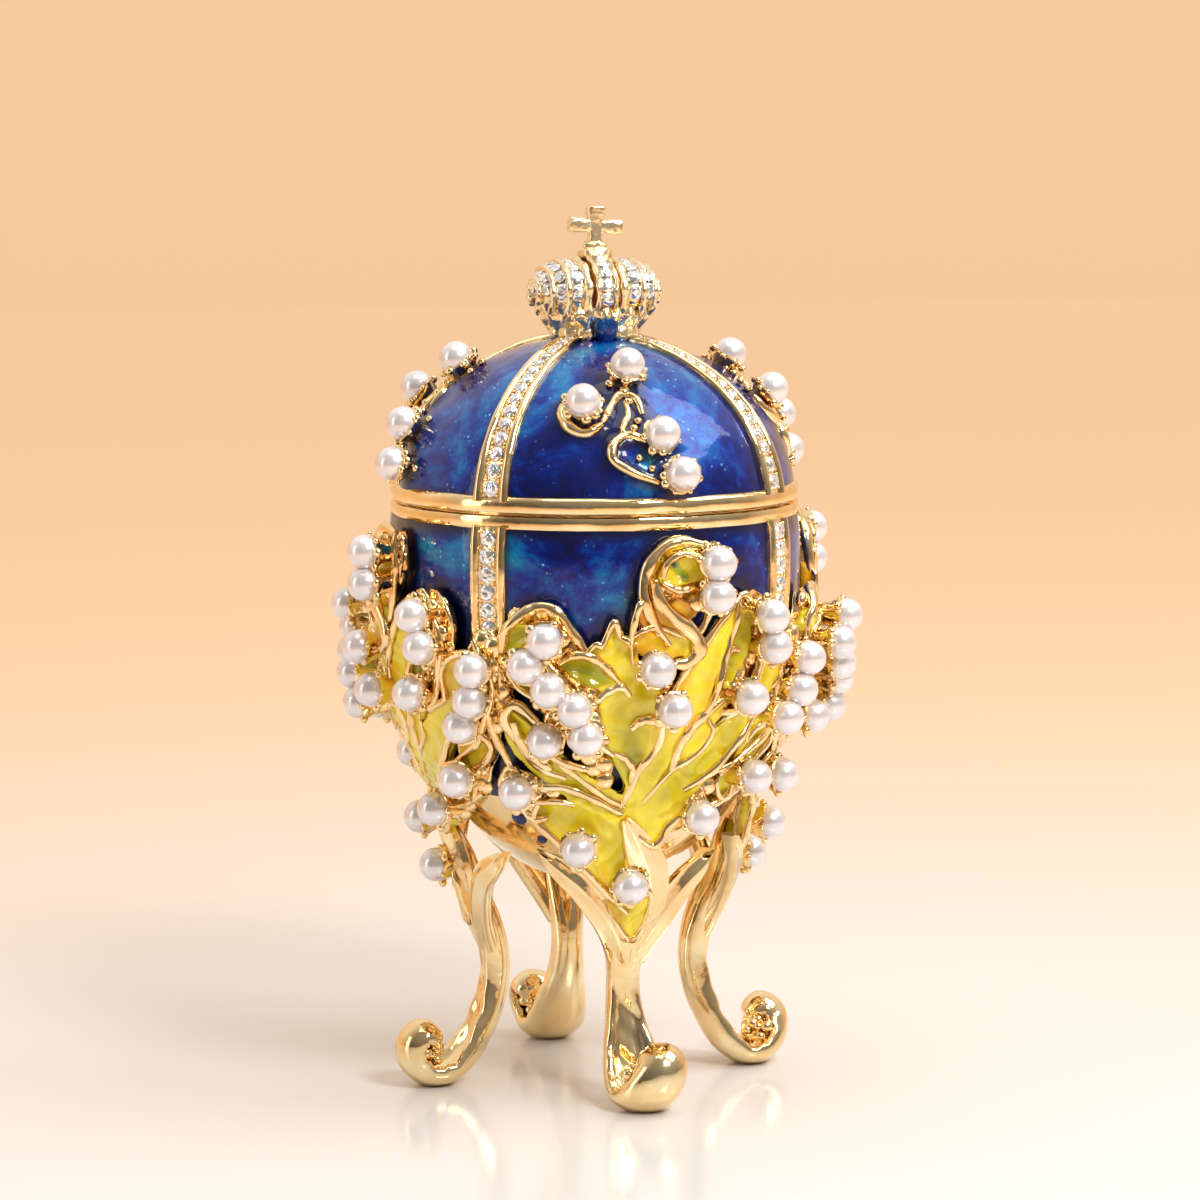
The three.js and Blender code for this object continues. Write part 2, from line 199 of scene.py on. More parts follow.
def ring_faces(rows, columns):
    """Faces between closed rings of corners."""
    faces = []
    for i in range(rows - 1):
        for j in range(columns):
            k = (j + 1) % columns
            faces.append((i * columns + j, i * columns + k, (i + 1) * columns + k, (i + 1) * columns + j))
    return faces


def lathe(profile, sides, wobble=None):
    """A turned surface; wobble(angle, r, z) gives new radii and heights."""
    profile = np.asarray(profile, float)
    angle = circle(sides)[None, :]
    r = np.repeat(profile[:, :1], sides, 1)
    z = np.repeat(profile[:, 1:2], sides, 1)
    if wobble:
        r, z = wobble(angle, r, z)
    corners = np.stack([r * np.sin(angle), -r * np.cos(angle), z + 0 * angle], -1)
    return corners.reshape(-1, 3), ring_faces(len(profile), sides)


def sweep(path, outward, across, lift, section, closed=False):
    """A skin along a path; across and lift scale the section's (side, height) pairs at each place."""
    path = np.asarray(path, float)
    along = np.roll(path, -1, 0) - np.roll(path, 1, 0) if closed else np.gradient(path, axis=0)
    along = unit(along)
    side = unit(np.cross(along, outward))
    out = unit(np.cross(side, along))
    across = np.broadcast_to(np.asarray(across, float), len(path))
    lift = np.broadcast_to(np.asarray(lift, float), len(path))
    section = np.asarray(section, float)
    if section.ndim == 2:
        section = np.broadcast_to(section, (len(path), *section.shape))
    sideways = side[:, None] * (across[:, None] * section[..., 0])[..., None]
    upwards = out[:, None] * (lift[:, None] * section[..., 1])[..., None]
    rings = path[:, None] + sideways + upwards
    rows, columns = rings.shape[:2]
    if closed:
        rings = np.concatenate([rings, rings[:1]])
        return rings.reshape(-1, 3), ring_faces(rows + 1, columns)
    faces = ring_faces(rows, columns)
    faces.append(tuple(range(columns))[::-1])
    faces.append(tuple((rows - 1) * columns + j for j in range(columns)))
    return rings.reshape(-1, 3), faces


def round_section(sides):
    return np.stack([np.cos(circle(sides)), np.sin(circle(sides))], -1)


def ball(centre, radius, sides, rings, pole=(0, 0, 1), squash=1.0):
    pole = unit(np.asarray(pole, float))
    first = unit(np.cross(pole, [0.31, 0.95, 0.07]))
    second = np.cross(pole, first)
    down = np.linspace(0, math.pi, rings + 1)[1:-1, None]
    turn = circle(sides)[None, :]
    unit_rows = (
        (np.sin(down) * np.cos(turn))[..., None] * first
        + (np.sin(down) * np.sin(turn))[..., None] * second
        + (np.cos(down) + 0 * turn)[..., None] * pole * squash
    ).reshape(-1, 3)
    corners = np.vstack([unit_rows, pole * squash, -pole * squash]) * radius + np.asarray(centre, float)
    faces = ring_faces(rings - 1, sides)
    top, bottom = len(corners) - 2, len(corners) - 1
    last = (rings - 2) * sides
    for j in range(sides):
        k = (j + 1) % sides
        faces.append((j, top, k))
        faces.append((last + k, bottom, last + j))
    return corners, faces


def stone(centre, outward, radius, turn):
    """A round faceted stone: a flat table, a sloped crown and a girdle."""
    outward = unit(np.asarray(outward, float))
    first = unit(np.cross(outward, [0.12, 0.31, 0.94]))
    second = np.cross(outward, first)
    rings = [(1.0, -0.25, 0.0), (1.0, 0.0, 0.0), (0.78, 0.3, 0.5), (0.45, 0.42, 0.0)]
    corners = []
    for share, height, shift in rings:
        for j in range(8):
            angle = turn + (j + shift) * math.pi / 4
            spoke = first * math.cos(angle) + second * math.sin(angle)
            corners.append(centre + radius * (spoke * share + outward * height))
    faces = ring_faces(4, 8)
    faces.append(tuple(range(24, 32)))
    return corners, faces


def new_object(name, data):
    made = bpy.data.objects.new(name, data)
    bpy.context.collection.objects.link(made)
    return made


def make_piece(name, shape, material, replaces=(), sharp=None, modifiers=()):
    mesh = bpy.data.meshes.new(name)
    mesh.from_pydata((np.vstack(shape.corners) * MM).tolist(), [], shape.faces)
    mesh.polygons.foreach_set("use_smooth", [sharp != 0] * len(mesh.polygons))
    tone = mesh.attributes.new("tone", "FLOAT", "POINT")
    tone.data.foreach_set("value", np.concatenate(shape.tones))
    if sharp:
        mesh.set_sharp_from_angle(angle=math.radians(sharp))
    mesh.materials.append(material)
    made = new_object(name, mesh)
    for kind, settings in modifiers:
        modifier = made.modifiers.new(kind.title(), kind)
        for key, value in settings.items():
            setattr(modifier, key, value)
    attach(made, "root")
    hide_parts(*replaces)


# Materials

def new_material(name):
    made = bpy.data.materials.new(name)
    made.use_nodes = True
    return made, made.node_tree, made.node_tree.nodes["Principled BSDF"]


def add_node(tree, kind, **values):
    made = tree.nodes.new(kind)
    for key, value in values.items():
        if key in made.inputs:
            made.inputs[key].default_value = value
        else:
            setattr(made, key, value)
    return made


def place_of(tree):
    return tree.nodes.new("ShaderNodeTexCoord").outputs["Object"]


def noise(tree, scale, detail, roughness=0.5, distortion=0.0):
    made = add_node(tree, "ShaderNodeTexNoise", Scale=scale, Detail=detail, Roughness=roughness)
    feed_all(tree, made, Distortion=distortion, Vector=place_of(tree))
    return made.outputs["Fac"]


def ramp(tree, factor, stops):
    made = tree.nodes.new("ShaderNodeValToRGB")
    elements = made.color_ramp.elements
    while len(elements) < len(stops):
        elements.new(0.5)
    for element, (position, colour) in zip(elements, stops):
        element.position = position
        element.color = (*colour, 1)
    tree.links.new(factor, made.inputs["Fac"])
    return made.outputs["Color"]


def feed(tree, socket, value):
    """Links an output to the socket, or sets the socket itself to a number or a colour."""
    if isinstance(value, bpy.types.NodeSocket):
        tree.links.new(value, socket)
    else:
        socket.default_value = (*value, 1) if isinstance(value, tuple) else value


def feed_all(tree, node, **values):
    for name, value in values.items():
        feed(tree, node.inputs[name.replace("_", " ")], value)


def mix(tree, factor, first, second):
    made = add_node(tree, "ShaderNodeMix", data_type="RGBA")
    for place, value in ((0, factor), (6, first), (7, second)):
        feed(tree, made.inputs[place], value)
    return made.outputs[2]


def maths(tree, operation, first, second):
    made = add_node(tree, "ShaderNodeMath", operation=operation)
    for place, value in enumerate((first, second)):
        feed(tree, made.inputs[place], value)
    return made.outputs[0]


def times(tree, first, second):
    return maths(tree, "MULTIPLY", first, second)


def plus_share(tree, first, second, share):
    return maths(tree, "ADD", first, times(tree, second, share))


def span(tree, value, low, high, to_low=0.0, to_high=1.0):
    made = add_node(tree, "ShaderNodeMapRange")
    feed_all(tree, made, Value=value, From_Min=low, From_Max=high, To_Min=to_low, To_Max=to_high)
    return made.outputs["Result"]


def tone_of(tree):
    return add_node(tree, "ShaderNodeAttribute", attribute_name="tone").outputs["Fac"]


def bump(tree, shader, height, strength, distance, sockets=("Normal",)):
    made = add_node(tree, "ShaderNodeBump", Strength=strength, Distance=distance)
    tree.links.new(height, made.inputs["Height"])
    for socket in sockets:
        tree.links.new(made.outputs["Normal"], shader.inputs[socket])


def blue_enamel():
    """Glassy enamel over bright metal, mottled, with painted glints of foil as pale dots, and painted shade
    that turns it nearly black and less metallic where tone is 1.
    """
    made, tree, shader = new_material("blue_enamel")
    clouds = noise(tree, 66, 5, 0.62, 1.2)
    streaks = noise(tree, 380, 6, 0.7, 0.9)
    both = plus_share(tree, times(tree, clouds, 0.74), streaks, 0.26)
    deep = [(0.38, (0.002, 0.003, 0.05)), (0.46, (0.0, 0.008, 0.16)), (0.51, (0.0, 0.028, 0.30))]
    bright = [(0.56, (0.0, 0.10, 0.41)), (0.66, (0.005, 0.31, 0.56))]
    colour = ramp(tree, both, deep + bright)
    # Painted glints: small pale cyan dots in the base colour stand in for foil sparkle.
    glint_cells = add_node(tree, "ShaderNodeTexVoronoi", Scale=1300.0)
    feed_all(tree, glint_cells, Vector=place_of(tree))
    spots = span(tree, glint_cells.outputs["Distance"], 0.24, 0.1)
    spots = times(tree, spots, span(tree, noise(tree, 420, 3), 0.52, 0.6))
    spots = times(tree, spots, span(tree, both, 0.44, 0.54))
    colour = mix(tree, spots, colour, (0.22, 0.60, 0.85))
    # Painted shade: tone mixes the colour towards near black and lowers the metal's shine.
    colour = mix(tree, tone_of(tree), colour, (0.003, 0.003, 0.035))
    shine = span(tree, tone_of(tree), 0, 1, 0.35, 0.05)
    haze = span(tree, streaks, 0.3, 0.7, 0.46, 0.26)
    feed_all(tree, shader, Base_Color=colour, Metallic=shine, Roughness=haze, Specular_IOR_Level=0.15)
    feed_all(tree, shader, Coat_Weight=0.75, Coat_Roughness=0.02)
    foil = plus_share(tree, noise(tree, 150, 2), noise(tree, 520, 3), 0.2)
    bump(tree, shader, foil, 0.36, 0.0008, ("Normal", "Coat Normal"))
    return made


def gilt(name, rough=0.1, lumps=0.16, lump_scale=260, pale=0.1, metallic=1.0):
    """Pale polished gold plate over a casting that was finished by hand; where tone is raised it is painted
    orange-brown, as painted shade and reflected light in recesses.
    """
    made, tree, shader = new_material(name)
    wear = noise(tree, 210, 4, 0.6)
    golds = [(0.3, (0.86, 0.56, 0.24)), (0.5, (0.95, 0.70, 0.345)), (0.72, (1.0, 0.85, 0.53))]
    colour = mix(tree, pale, ramp(tree, wear, golds), (0.88, 0.83, 0.64))
    # Painted shade and reflection: tone mixes the gold towards orange-brown, the colour that light thrown
    # between gold faces gives in recesses.
    colour = mix(tree, tone_of(tree), colour, (0.78, 0.38, 0.10))
    patches = span(tree, noise(tree, 420, 3), 0.3, 0.7, rough * 0.6, rough * 1.6)
    feed_all(tree, shader, Base_Color=colour, Metallic=metallic, Roughness=patches)
    coarse = noise(tree, lump_scale, 2, 0.45)
    fine = noise(tree, lump_scale * 3.7, 2, 0.5)
    bump(tree, shader, plus_share(tree, coarse, fine, 0.16), lumps, 0.001)
    return made


def yellow_enamel():
    """Lemon enamel. Tone runs from -0.4, amber, by 0, lemon, and 0.4, olive, to 1, dark green."""
    made, tree, shader = new_material("yellow_enamel")
    drift = maths(tree, "SUBTRACT", noise(tree, 115, 2, 0.5, 0.5), 0.5)
    place = span(tree, plus_share(tree, tone_of(tree), drift, 0.85), -0.4, 1.0)
    amber = [(0.0, (0.60, 0.18, 0.003)), (0.14, (0.92, 0.50, 0.004))]
    lemon = [(0.28, (1.0, 0.84, 0.05)), (0.42, (0.86, 0.71, 0.010))]
    green = [(0.58, (0.50, 0.43, 0.006)), (0.78, (0.28, 0.46, 0.02)), (1.0, (0.012, 0.045, 0.012))]
    feed_all(tree, shader, Base_Color=ramp(tree, place, amber + lemon + green), Roughness=0.3)
    feed_all(tree, shader, Specular_IOR_Level=0.25, Coat_Weight=0.9, Coat_Roughness=0.02)
    waves = plus_share(tree, noise(tree, 190, 1, 0.5, 0.4), noise(tree, 520, 1), 0.12)
    bump(tree, shader, waves, 0.7, 0.0014, ("Normal", "Coat Normal"))
    return made


def pearl():
    made, tree, shader = new_material("pearl")
    body = ramp(tree, noise(tree, 160, 3), [(0.35, (0.82, 0.79, 0.81)), (0.65, (0.91, 0.88, 0.89))])
    feed_all(tree, shader, Base_Color=body, Metallic=0.45, Specular_Tint=(1.0, 0.66, 0.56), Roughness=0.28)
    feed_all(tree, shader, Coat_Weight=1.0, Coat_Roughness=0.03, Coat_IOR=1.75)
    bump(tree, shader, noise(tree, 700, 2), 0.04, 0.0002)
    return made


def crystal():
    """Foil-backed clear stones: bright facets that turn dark between the lights."""
    made, tree, shader = new_material("crystal")
    tint = ramp(tree, noise(tree, 1500, 1), [(0.36, (0.62, 0.67, 0.75)), (0.56, (0.99, 0.99, 1.0))])
    feed_all(tree, shader, Base_Color=tint, Metallic=0.85, Roughness=0.06)
    feed_all(tree, shader, Coat_Weight=1.0, Coat_Roughness=0.02)
    bump(tree, shader, noise(tree, 1500, 1), 0.6, 0.0004)
    return made


BLUE = blue_enamel()
GILT = gilt("gilt")
NUGGET = gilt("gilt_cast", 0.14, 0.3, 420)
HAMMERED = gilt("gilt_hammered", 0.16, 0.5, 400, 0.4, 0.9)
YELLOW = yellow_enamel()
PEARL = pearl()
CRYSTAL = crystal()


# Leaves of one quarter. Places are degrees from the leg and a height; halves are half widths along the leaf.
def strip(points, halves, tone, low=1.0, high=LEAF_TOP, lumps=0.17):
    rows = smooth_row([(d, z, h) for (d, z), h in zip(points, halves)], 6)
    return {"rows": rows, "tone": tone, "low": low, "high": high, "lumps": lumps}


ENAMEL_LEAVES = [
    strip([(0.6, 17.4), (0, 19.4), (-1.6, 22)], [0.2, 1.2, 2.0], 0.05, 2.5, 2.8),
    strip([(-2, 21.4), (-6, 25), (-14, 28.4), (-24, 30.8), (-34, 32.4)], [1.1, 2.2, 3, 2.6, 0.5], 0.04),
    strip([(-4, 31.8), (-14, 33.6), (-25, 36.2), (-34, 39.6), (-38.5, 42.6)],
          [1.3, 1.6, 1.7, 1.9, 0.8], 0.16),
    strip([(-4, 30.8), (2.5, 36.5), (8.8, 42.4), (14.5, 48.2), (22.8, 54.4)],
          [1.4, 2.2, 2.4, 1.6, 0.3], -0.02),
    strip([(4, 34.6), (10.5, 38.6), (16, 41.6), (21, 44)], [0.8, 1.2, 1.1, 0.3], 0.1),
    strip([(-1, 31.6), (9, 34), (18, 37.2), (26.5, 40.6), (34, 43.6)], [1.6, 2.2, 2, 1.9, 0.6], 0.14),
    strip([(-4, 31.4), (5, 30.6), (13.5, 32)], [0.9, 2.1, 1.1], 0.02),
    strip([(-3.5, 35.6), (-5.8, 40), (-8.6, 44)], [0.9, 2.2, 2.1], 0.2),
    strip([(-8, 44.6), (-9.4, 48), (-10.6, 52.4)], [2, 2.2, 0.5], 0.0),
    strip([(-15, 50), (-10.5, 49), (-6, 50)], [0.5, 1.6, 0.4], -0.02),
    strip([(-23.5, 48.4), (-16, 47.5), (-8.5, 46)], [0.4, 1.4, 0.5], 0.52, 1.3, 2.1),
    strip([(-5, 40.6), (-3.6, 44), (-2, 47)], [1.5, 2.0, 1.3], 0.22, 1.0, 1.6),
    strip([(-37, 50.6), (-34.5, 51.2), (-31.5, 51.6)], [1, 1.4, 0.8], 0.42, 1.7, 2.5),
    strip([(2.6, 57.4), (6, 58.2), (10, 58)], [0.9, 1.5, 0.9], 0.05, 1.8, 2.6),
    strip([(4.2, 58.6), (6.6, 57.6)], [0.9, 0.8], 1.3, 1.7, 2.2),
    strip([(-5.2, 51), (0.5, 50.4), (6.8, 50.2)], [0.7, 1.7, 0.8], -0.12, 1.5, 2.2),
    strip([(4.5, 53.5), (8.6, 51.2), (8.2, 48.4)], [0.5, 0.9, 0.4], 0.0, 1.8, 2.4),
    strip([(-2.8, 55.4), (-1.2, 53.4), (2.6, 51.8)], [0.6, 1.3, 1.4], -0.28, 1.4, 2.0),
    strip([(5, 54.6), (8.2, 53.8)], [0.6, 0.8], -0.3, 1.5, 2.2),
    strip([(21.4, 46.2), (22.8, 49.4), (25.6, 52.6)], [0.9, 1.8, 0.9], 0.34),
    strip([(41, 48.6), (37, 46.6), (35.2, 44)], [0.7, 1.9, 1.1], -0.1),
    strip([(35.5, 43), (34.4, 41), (36.6, 38.8)], [0.6, 1.6, 0.9], 0.1),
    strip([(33, 37.2), (38.5, 38.6), (43, 39.4)], [0.6, 1.8, 0.5], 0.05),
    strip([(33.4, 35.9), (30, 34.6), (31.5, 33)], [0.5, 1.3, 0.5], 0.2),
    strip([(-40.5, 36.6), (-41.6, 34.6), (-40, 32.8)], [0.5, 1.2, 0.5], 0.25),
    strip([(-27.5, 45), (-31.5, 46.6), (-35.4, 47.8)], [0.6, 1.3, 0.7], 0.3, 1.3, 2.4),
]
GILT_GROUND = [
    strip([(-12, 34), (-17, 41), (-26, 47), (-31, 52.6)], [0.6, 2, 3.6, 1.8], 0, 0.9, 1.2, 0.2),
    strip([(-36.5, 46), (-37, 50), (-33, 53.2)], [0.6, 1.8, 0.9], 0, 0.9, 1.3, 0.2),
    strip([(3, 46), (2, 52), (3.5, 58.6), (8.5, 60)], [0.6, 2.2, 2.1, 0.8], 0, 0.9, 1.3, 0.2),
    strip([(7, 54), (11, 57), (13, 60)], [0.8, 2, 1], 0, 0.9, 1.3, 0.2),
    strip([(19, 42), (25, 46), (29.5, 51.5), (29, 54.8)], [0.8, 2.2, 2.5, 0.7], 0, 0.9, 1.2, 0.2),
    strip([(26, 34.6), (34, 36.6), (41, 41.5), (44.5, 48.4), (46.5, 51)],
          [0.8, 1.9, 2.2, 1.9, 0.6], 0, 0.8, 1.1, 0.2),
    strip([(15, 31), (24, 33.4), (36, 35.6)], [1.6, 1.6, 1.2], 0, 0.8, 1.1, 0.2),
    strip([(-22, 29), (-33, 33.6), (-40, 35.5)], [1, 1.8, 1.1], 0, 0.7, 1, 0.2),
    strip([(-40, 42), (-44, 46), (-46, 49)], [1.2, 1.7, 0.5], 0, 0.8, 1.1, 0.2),
    strip([(-14, 37), (-10.4, 39), (-8, 42)], [0.6, 1.2, 1], 0, 0.8, 1.1, 0.2),
]

# Thin stalks that carry the pearls
STALKS = [
    [(-23, 52), (-28.5, 49.5), (-23.5, 46.6), (-18, 43.4), (-15.4, 40.4), (-10, 38.6)],
    [(-33.4, 50.5), (-33.5, 47.5), (-28, 44.4), (-22.5, 42)],
    [(14.8, 61), (15.4, 57), (13.4, 53.2), (10.4, 51)],
    [(27, 54.6), (32.2, 51), (31.2, 47.4), (27, 43.2), (20, 42.6)],
    [(43, 50.6), (47.4, 46), (44.4, 42.4), (40, 39.4), (33, 37.6), (25, 35.6)],
    [(41.5, 47.5), (41, 43.6), (37.4, 41.6)],
    [(37, 33.6), (30.6, 32.6), (22, 31.6)],
    [(-40.2, 32.6), (-36, 31.2), (-31, 31.4)],
    [(-40, 37), (-43.6, 40.6), (-45.6, 45)],
    [(-31, 39.6), (-24.6, 37.9), (-17, 37)],
    [(-16.2, 27.2), (-22, 25.6), (-25, 27)],
]


RIDGE_SWELL = 1.15
# Raised lines of the casting: places along each, and half its width, which RIDGE_SWELL widens
RIDGES = [
    ([(-5.5, 32.6), (-12.7, 34), (-19.5, 35.9), (-26, 37.9), (-29, 39.4)], 0.42),
    ([(-24, 36), (-31.6, 37.2), (-37.7, 40.3), (-40.2, 42.4), (-37.4, 43.9), (-33.7, 43.2),
      (-30.7, 42.2)], 0.6),
    ([(-6, 31.8), (-12.6, 33), (-18.5, 34), (-25, 34.9), (-33, 35)], 0.44),
    ([(-21.7, 32.9), (-27, 33.3), (-34, 33.1)], 0.32),
    ([(-33.5, 33), (-35.8, 31.4), (-32.7, 29.9), (-28.4, 28.6), (-20.6, 26), (-11, 23), (-2, 20.6)], 0.45),
    ([(-6.7, 32.6), (-3.8, 35.2), (-1.6, 37.2), (1.4, 38.6), (3.2, 40.2), (3.4, 43), (6, 46.2)], 0.42),
    ([(6, 46.2), (9.3, 48.3), (14.2, 51.1), (19.5, 53.6), (23.4, 54.9)], 0.4),
    ([(-4.4, 35.2), (-4.2, 37), (-7, 38.3), (-10.2, 38.9)], 0.4),
    ([(3.8, 41.6), (0.6, 42.3), (-2.6, 42.3), (-5.4, 41.5)], 0.5),
    ([(0.7, 33.1), (4.7, 35.1), (8.6, 36.7), (13.4, 37.9), (17.1, 39.1), (18.7, 40.8), (17.6, 42)], 0.3),
    ([(8.1, 36.6), (9.3, 39.2), (11.8, 41.1), (15.3, 42.7), (20.8, 44)], 0.52),
    ([(15.3, 42.7), (17.6, 44.9), (18.7, 46.8), (20.4, 49.1), (22.2, 51.4), (23.4, 54.9)], 0.44),
    ([(14, 34.2), (19, 35.3), (23.4, 36.6), (27.8, 38.6), (31.5, 40.3), (36, 42.4), (42, 43.2)], 0.45),
    ([(23, 36.1), (28.3, 36.6), (34, 36.4)], 0.38),
    ([(-4, 30.2), (1, 28.9), (5.7, 28.1), (8.9, 28.9), (11.7, 30.3), (16, 31.6), (20, 34)], 0.42),
    ([(-17.5, 49.6), (-15.2, 50.6), (-13.4, 50.6), (-10.6, 52.9), (-8.8, 51.3), (-6.3, 50.6),
      (-5.6, 48.4)], 0.36),
    ([(-24, 48.6), (-20, 49.5), (-16, 49.2), (-12.3, 48), (-8.8, 46.4)], 0.48),
    ([(-15.4, 44.4), (-12.3, 45.5), (-8.4, 46), (-6, 45)], 0.42),
    ([(-38.4, 49.6), (-37, 52), (-31.5, 54), (-27, 54.3), (-23.6, 53.2), (-20.4, 51.4), (-17.5, 49.8)], 0.66),
    ([(3.4, 50.4), (-1, 53), (-3.2, 56), (-1.6, 58.6), (2.5, 60.5), (7.6, 61), (12.4, 60.6)], 0.7),
    ([(1, 57.4), (2, 59), (6, 59.9), (10.5, 59.2)], 0.36),
    ([(0.8, 57), (4.5, 56.2), (8.4, 56.4)], 0.36),
    ([(-6.6, 50.6), (-5.4, 53.6), (-3.8, 54.8), (-1, 53.2), (0.6, 51.4)], 0.4),
    ([(-6, 51.4), (-2.5, 52.2), (2.2, 52.1), (6.6, 51.2)], 0.36),
    ([(33, 38.8), (38, 40.6), (42.5, 40.4), (44.6, 38.8), (40, 37), (35, 36.2)], 0.4),
    ([(20.4, 49), (22.6, 49.4), (25.2, 49.2)], 0.34),
    ([(23.4, 54.9), (26, 55), (28.4, 53.6)], 0.4),
]

# Leaf edges that roll over in gold: places, half width and lift
FOLDS = [
    ([(-1.2, 57), (0.4, 55), (3.4, 53.6), (7, 52.3), (10, 50.9), (10.6, 49.5), (7.6, 48.5),
      (4.6, 48.4)], 0.85, 2.3),
    ([(-28, 37), (-32.4, 38), (-36.2, 40), (-37.6, 42)], 0.6, 1.5),
]


def clearance_of(strips, degrees, z):
    """How far each place is inside the nearest strip, its share of the half width, and the strips' values."""
    best = np.full(degrees.shape, -99.0)
    share = np.full(degrees.shape, 9.0)
    parts = {key: np.zeros(degrees.shape) for key in ("tone", "low", "high", "lumps")}
    total = np.full(degrees.shape, 1e-9)
    for item in strips:
        rows = item["rows"]
        for (d0, z0, h0), (d1, z1, h1) in zip(rows[:-1], rows[1:]):
            per_degree = math.radians(1) * float(casting_radius((z0 + z1) / 2))
            ax, ay = (degrees - d0) * per_degree, z - z0
            bx, by = (d1 - d0) * per_degree, z1 - z0
            t = np.clip((ax * bx + ay * by) / (bx * bx + by * by), 0, 1)
            gap = np.hypot(ax - t * bx, ay - t * by)
            half = np.maximum(h0 + (h1 - h0) * t, 0.05)
            best = np.maximum(best, half - gap)
            here = gap / half
            share = np.minimum(share, here)
            weight = np.exp(-8 * np.minimum(here, 3) ** 2)
            total += weight
            for key in parts:
                parts[key] += weight * item[key]
    return best, share, {key: value / total for key, value in parts.items()}


def dished(share, parts):
    """The lift of a leaf: low along its middle and high at its edge."""
    return parts["low"] + (parts["high"] - parts["low"]) * np.clip(share, 0, 1) ** 2


def wave(degrees, z, pitch, seed):
    """Smooth repeatable lumps, about pitch millimetres apart, between -1 and 1."""
    x, y = degrees * 0.4 / pitch * math.tau, z / pitch * math.tau
    bent = np.sin(x * 0.9 + 1.7 * np.sin(y * 0.6 + seed) + seed)
    return bent * np.sin(y * 1.05 + 1.3 * np.sin(x * 0.7 + 2 * seed))


def quarter_grid(degrees_step, heights):
    """Angles and heights of a grid over one quarter and a little past it."""
    return np.meshgrid(np.arange(-QUARTER_REACH, QUARTER_REACH, degrees_step), heights)


def relief(strips, step, low_z, high_z, back, pitch):
    """One quarter of a casting: a raised sheet over the strips, whose outline lies on their true edge."""
    degrees_step = step / (math.radians(1) * MEAN_RADIUS)
    degrees, z = quarter_grid(degrees_step, np.arange(low_z, high_z, step))
    inside, share, parts = clearance_of(strips, degrees, z)
    rows, columns = z.shape
    number = np.arange(rows * columns).reshape(rows, columns)
    corners = [number[:-1, :-1], number[:-1, 1:], number[1:, 1:], number[1:, :-1]]
    quads = np.stack([c.reshape(-1) for c in corners], -1)
    quads = quads[(inside > 0).reshape(-1)[quads].sum(1) >= 2]
    per_degree = math.radians(1) * casting_radius(z)
    slope_z, slope_d = np.gradient(inside, step, degrees_step)
    slope_d = slope_d / per_degree
    reach = np.where(inside < 0, -inside, 0) / np.maximum(slope_d**2 + slope_z**2, 0.3)
    reach = np.minimum(reach, 1.5 * step)
    degrees = degrees + reach * slope_d / per_degree
    z = z + reach * slope_z
    inside = np.maximum(inside, 0)
    lift = dished(share, parts)
    lift = lift + parts["lumps"] * wave(degrees, z, pitch, 0.4)
    lift = lift - 0.3 * (1 - np.clip(inside / 0.5, 0, 1)) ** 2
    # Painted shade: the low middle of each leaf is pushed towards olive.
    tone = parts["tone"] + 0.16 * np.exp(-((share / 0.55) ** 2)) - 0.05
    front = over_casting(degrees, z, lift).reshape(-1, 3)
    rear = over_casting(degrees, z, np.full(z.shape, back)).reshape(-1, 3)
    return front, rear, quads, tone.reshape(-1)


def open_edges(quads):
    sides = {}
    for quad in quads.tolist():
        for a, b in zip(quad, quad[1:] + quad[:1]):
            if (b, a) in sides:
                del sides[(b, a)]
            else:
                sides[(a, b)] = True
    return list(sides)


def closed_sheet(front, rear, quads, tone):
    """Front and back sheets joined by walls along every open edge."""
    count = len(front)
    faces = quads.tolist()
    faces += [[d + count, c + count, b + count, a + count] for a, b, c, d in quads.tolist()]
    faces += [[b, a, a + count, b + count] for a, b in open_edges(quads)]
    used = np.unique(quads)
    renumber = np.full(2 * count, -1)
    both = np.concatenate([used, used + count])
    renumber[both] = np.arange(len(both))
    corners = np.vstack([front, rear])[both]
    tones = np.concatenate([tone, tone])[both]
    return corners, [tuple(renumber[list(face)]) for face in faces], tones


def ridge_points():
    """Points along the raised lines, at the height of the leaves."""
    rows = np.vstack([smooth_row(line[0], 9) for line in RIDGES + FOLDS])
    return casting_line(rows, 1.6)[0]


def without_short_rises(values, reach):
    """Values round a loop, with every rise of less than twice the reach taken out."""
    for pick in (np.min, np.max):
        wide = np.pad(values, reach, mode="wrap")
        values = pick([wide[i : i + len(values)] for i in range(2 * reach + 1)], axis=0)
    return values


def rims(shape, front, quads, half, shortest=6.0):
    """A raised round rim along every outline of a sheet, which sinks where a raised line runs beside it."""
    lines = ridge_points()
    following = {}
    for a, b in open_edges(quads):
        following.setdefault(a, []).append(b)
    while following:
        start = next(iter(following))
        loop = [start]
        here = start
        while here in following:
            ways = following[here]
            onward = ways.pop()
            if not ways:
                del following[here]
            if onward == start:
                break
            loop.append(onward)
            here = onward
        path = front[loop]
        if len(path) < 8 or np.linalg.norm(np.diff(path, axis=0), axis=1).sum() < shortest:
            continue
        for _ in range(9):
            path = (np.roll(path, 1, 0) + 2 * path + np.roll(path, -1, 0)) / 4
        path = path[::2]
        outward = unit(path * [1, 1, 0])
        swell = half * (1 + 0.16 * np.sin(np.arange(len(path)) * 0.37 + len(path)))
        gap = np.array([np.linalg.norm(lines - point, axis=1).min() for point in path])
        clear = without_short_rises(np.clip((gap - 0.7) / 1.1, 0.03, 1), 3)
        clear = np.convolve(np.pad(clear, 4, mode="wrap"), np.ones(9) / 9, mode="valid")
        rise = (0.2 * clear - 1.1 * (1 - clear))[:, None]
        swell = swell * clear
        shape.add(*sweep(path + outward * rise, outward, swell, swell, round_section(7), closed=True))


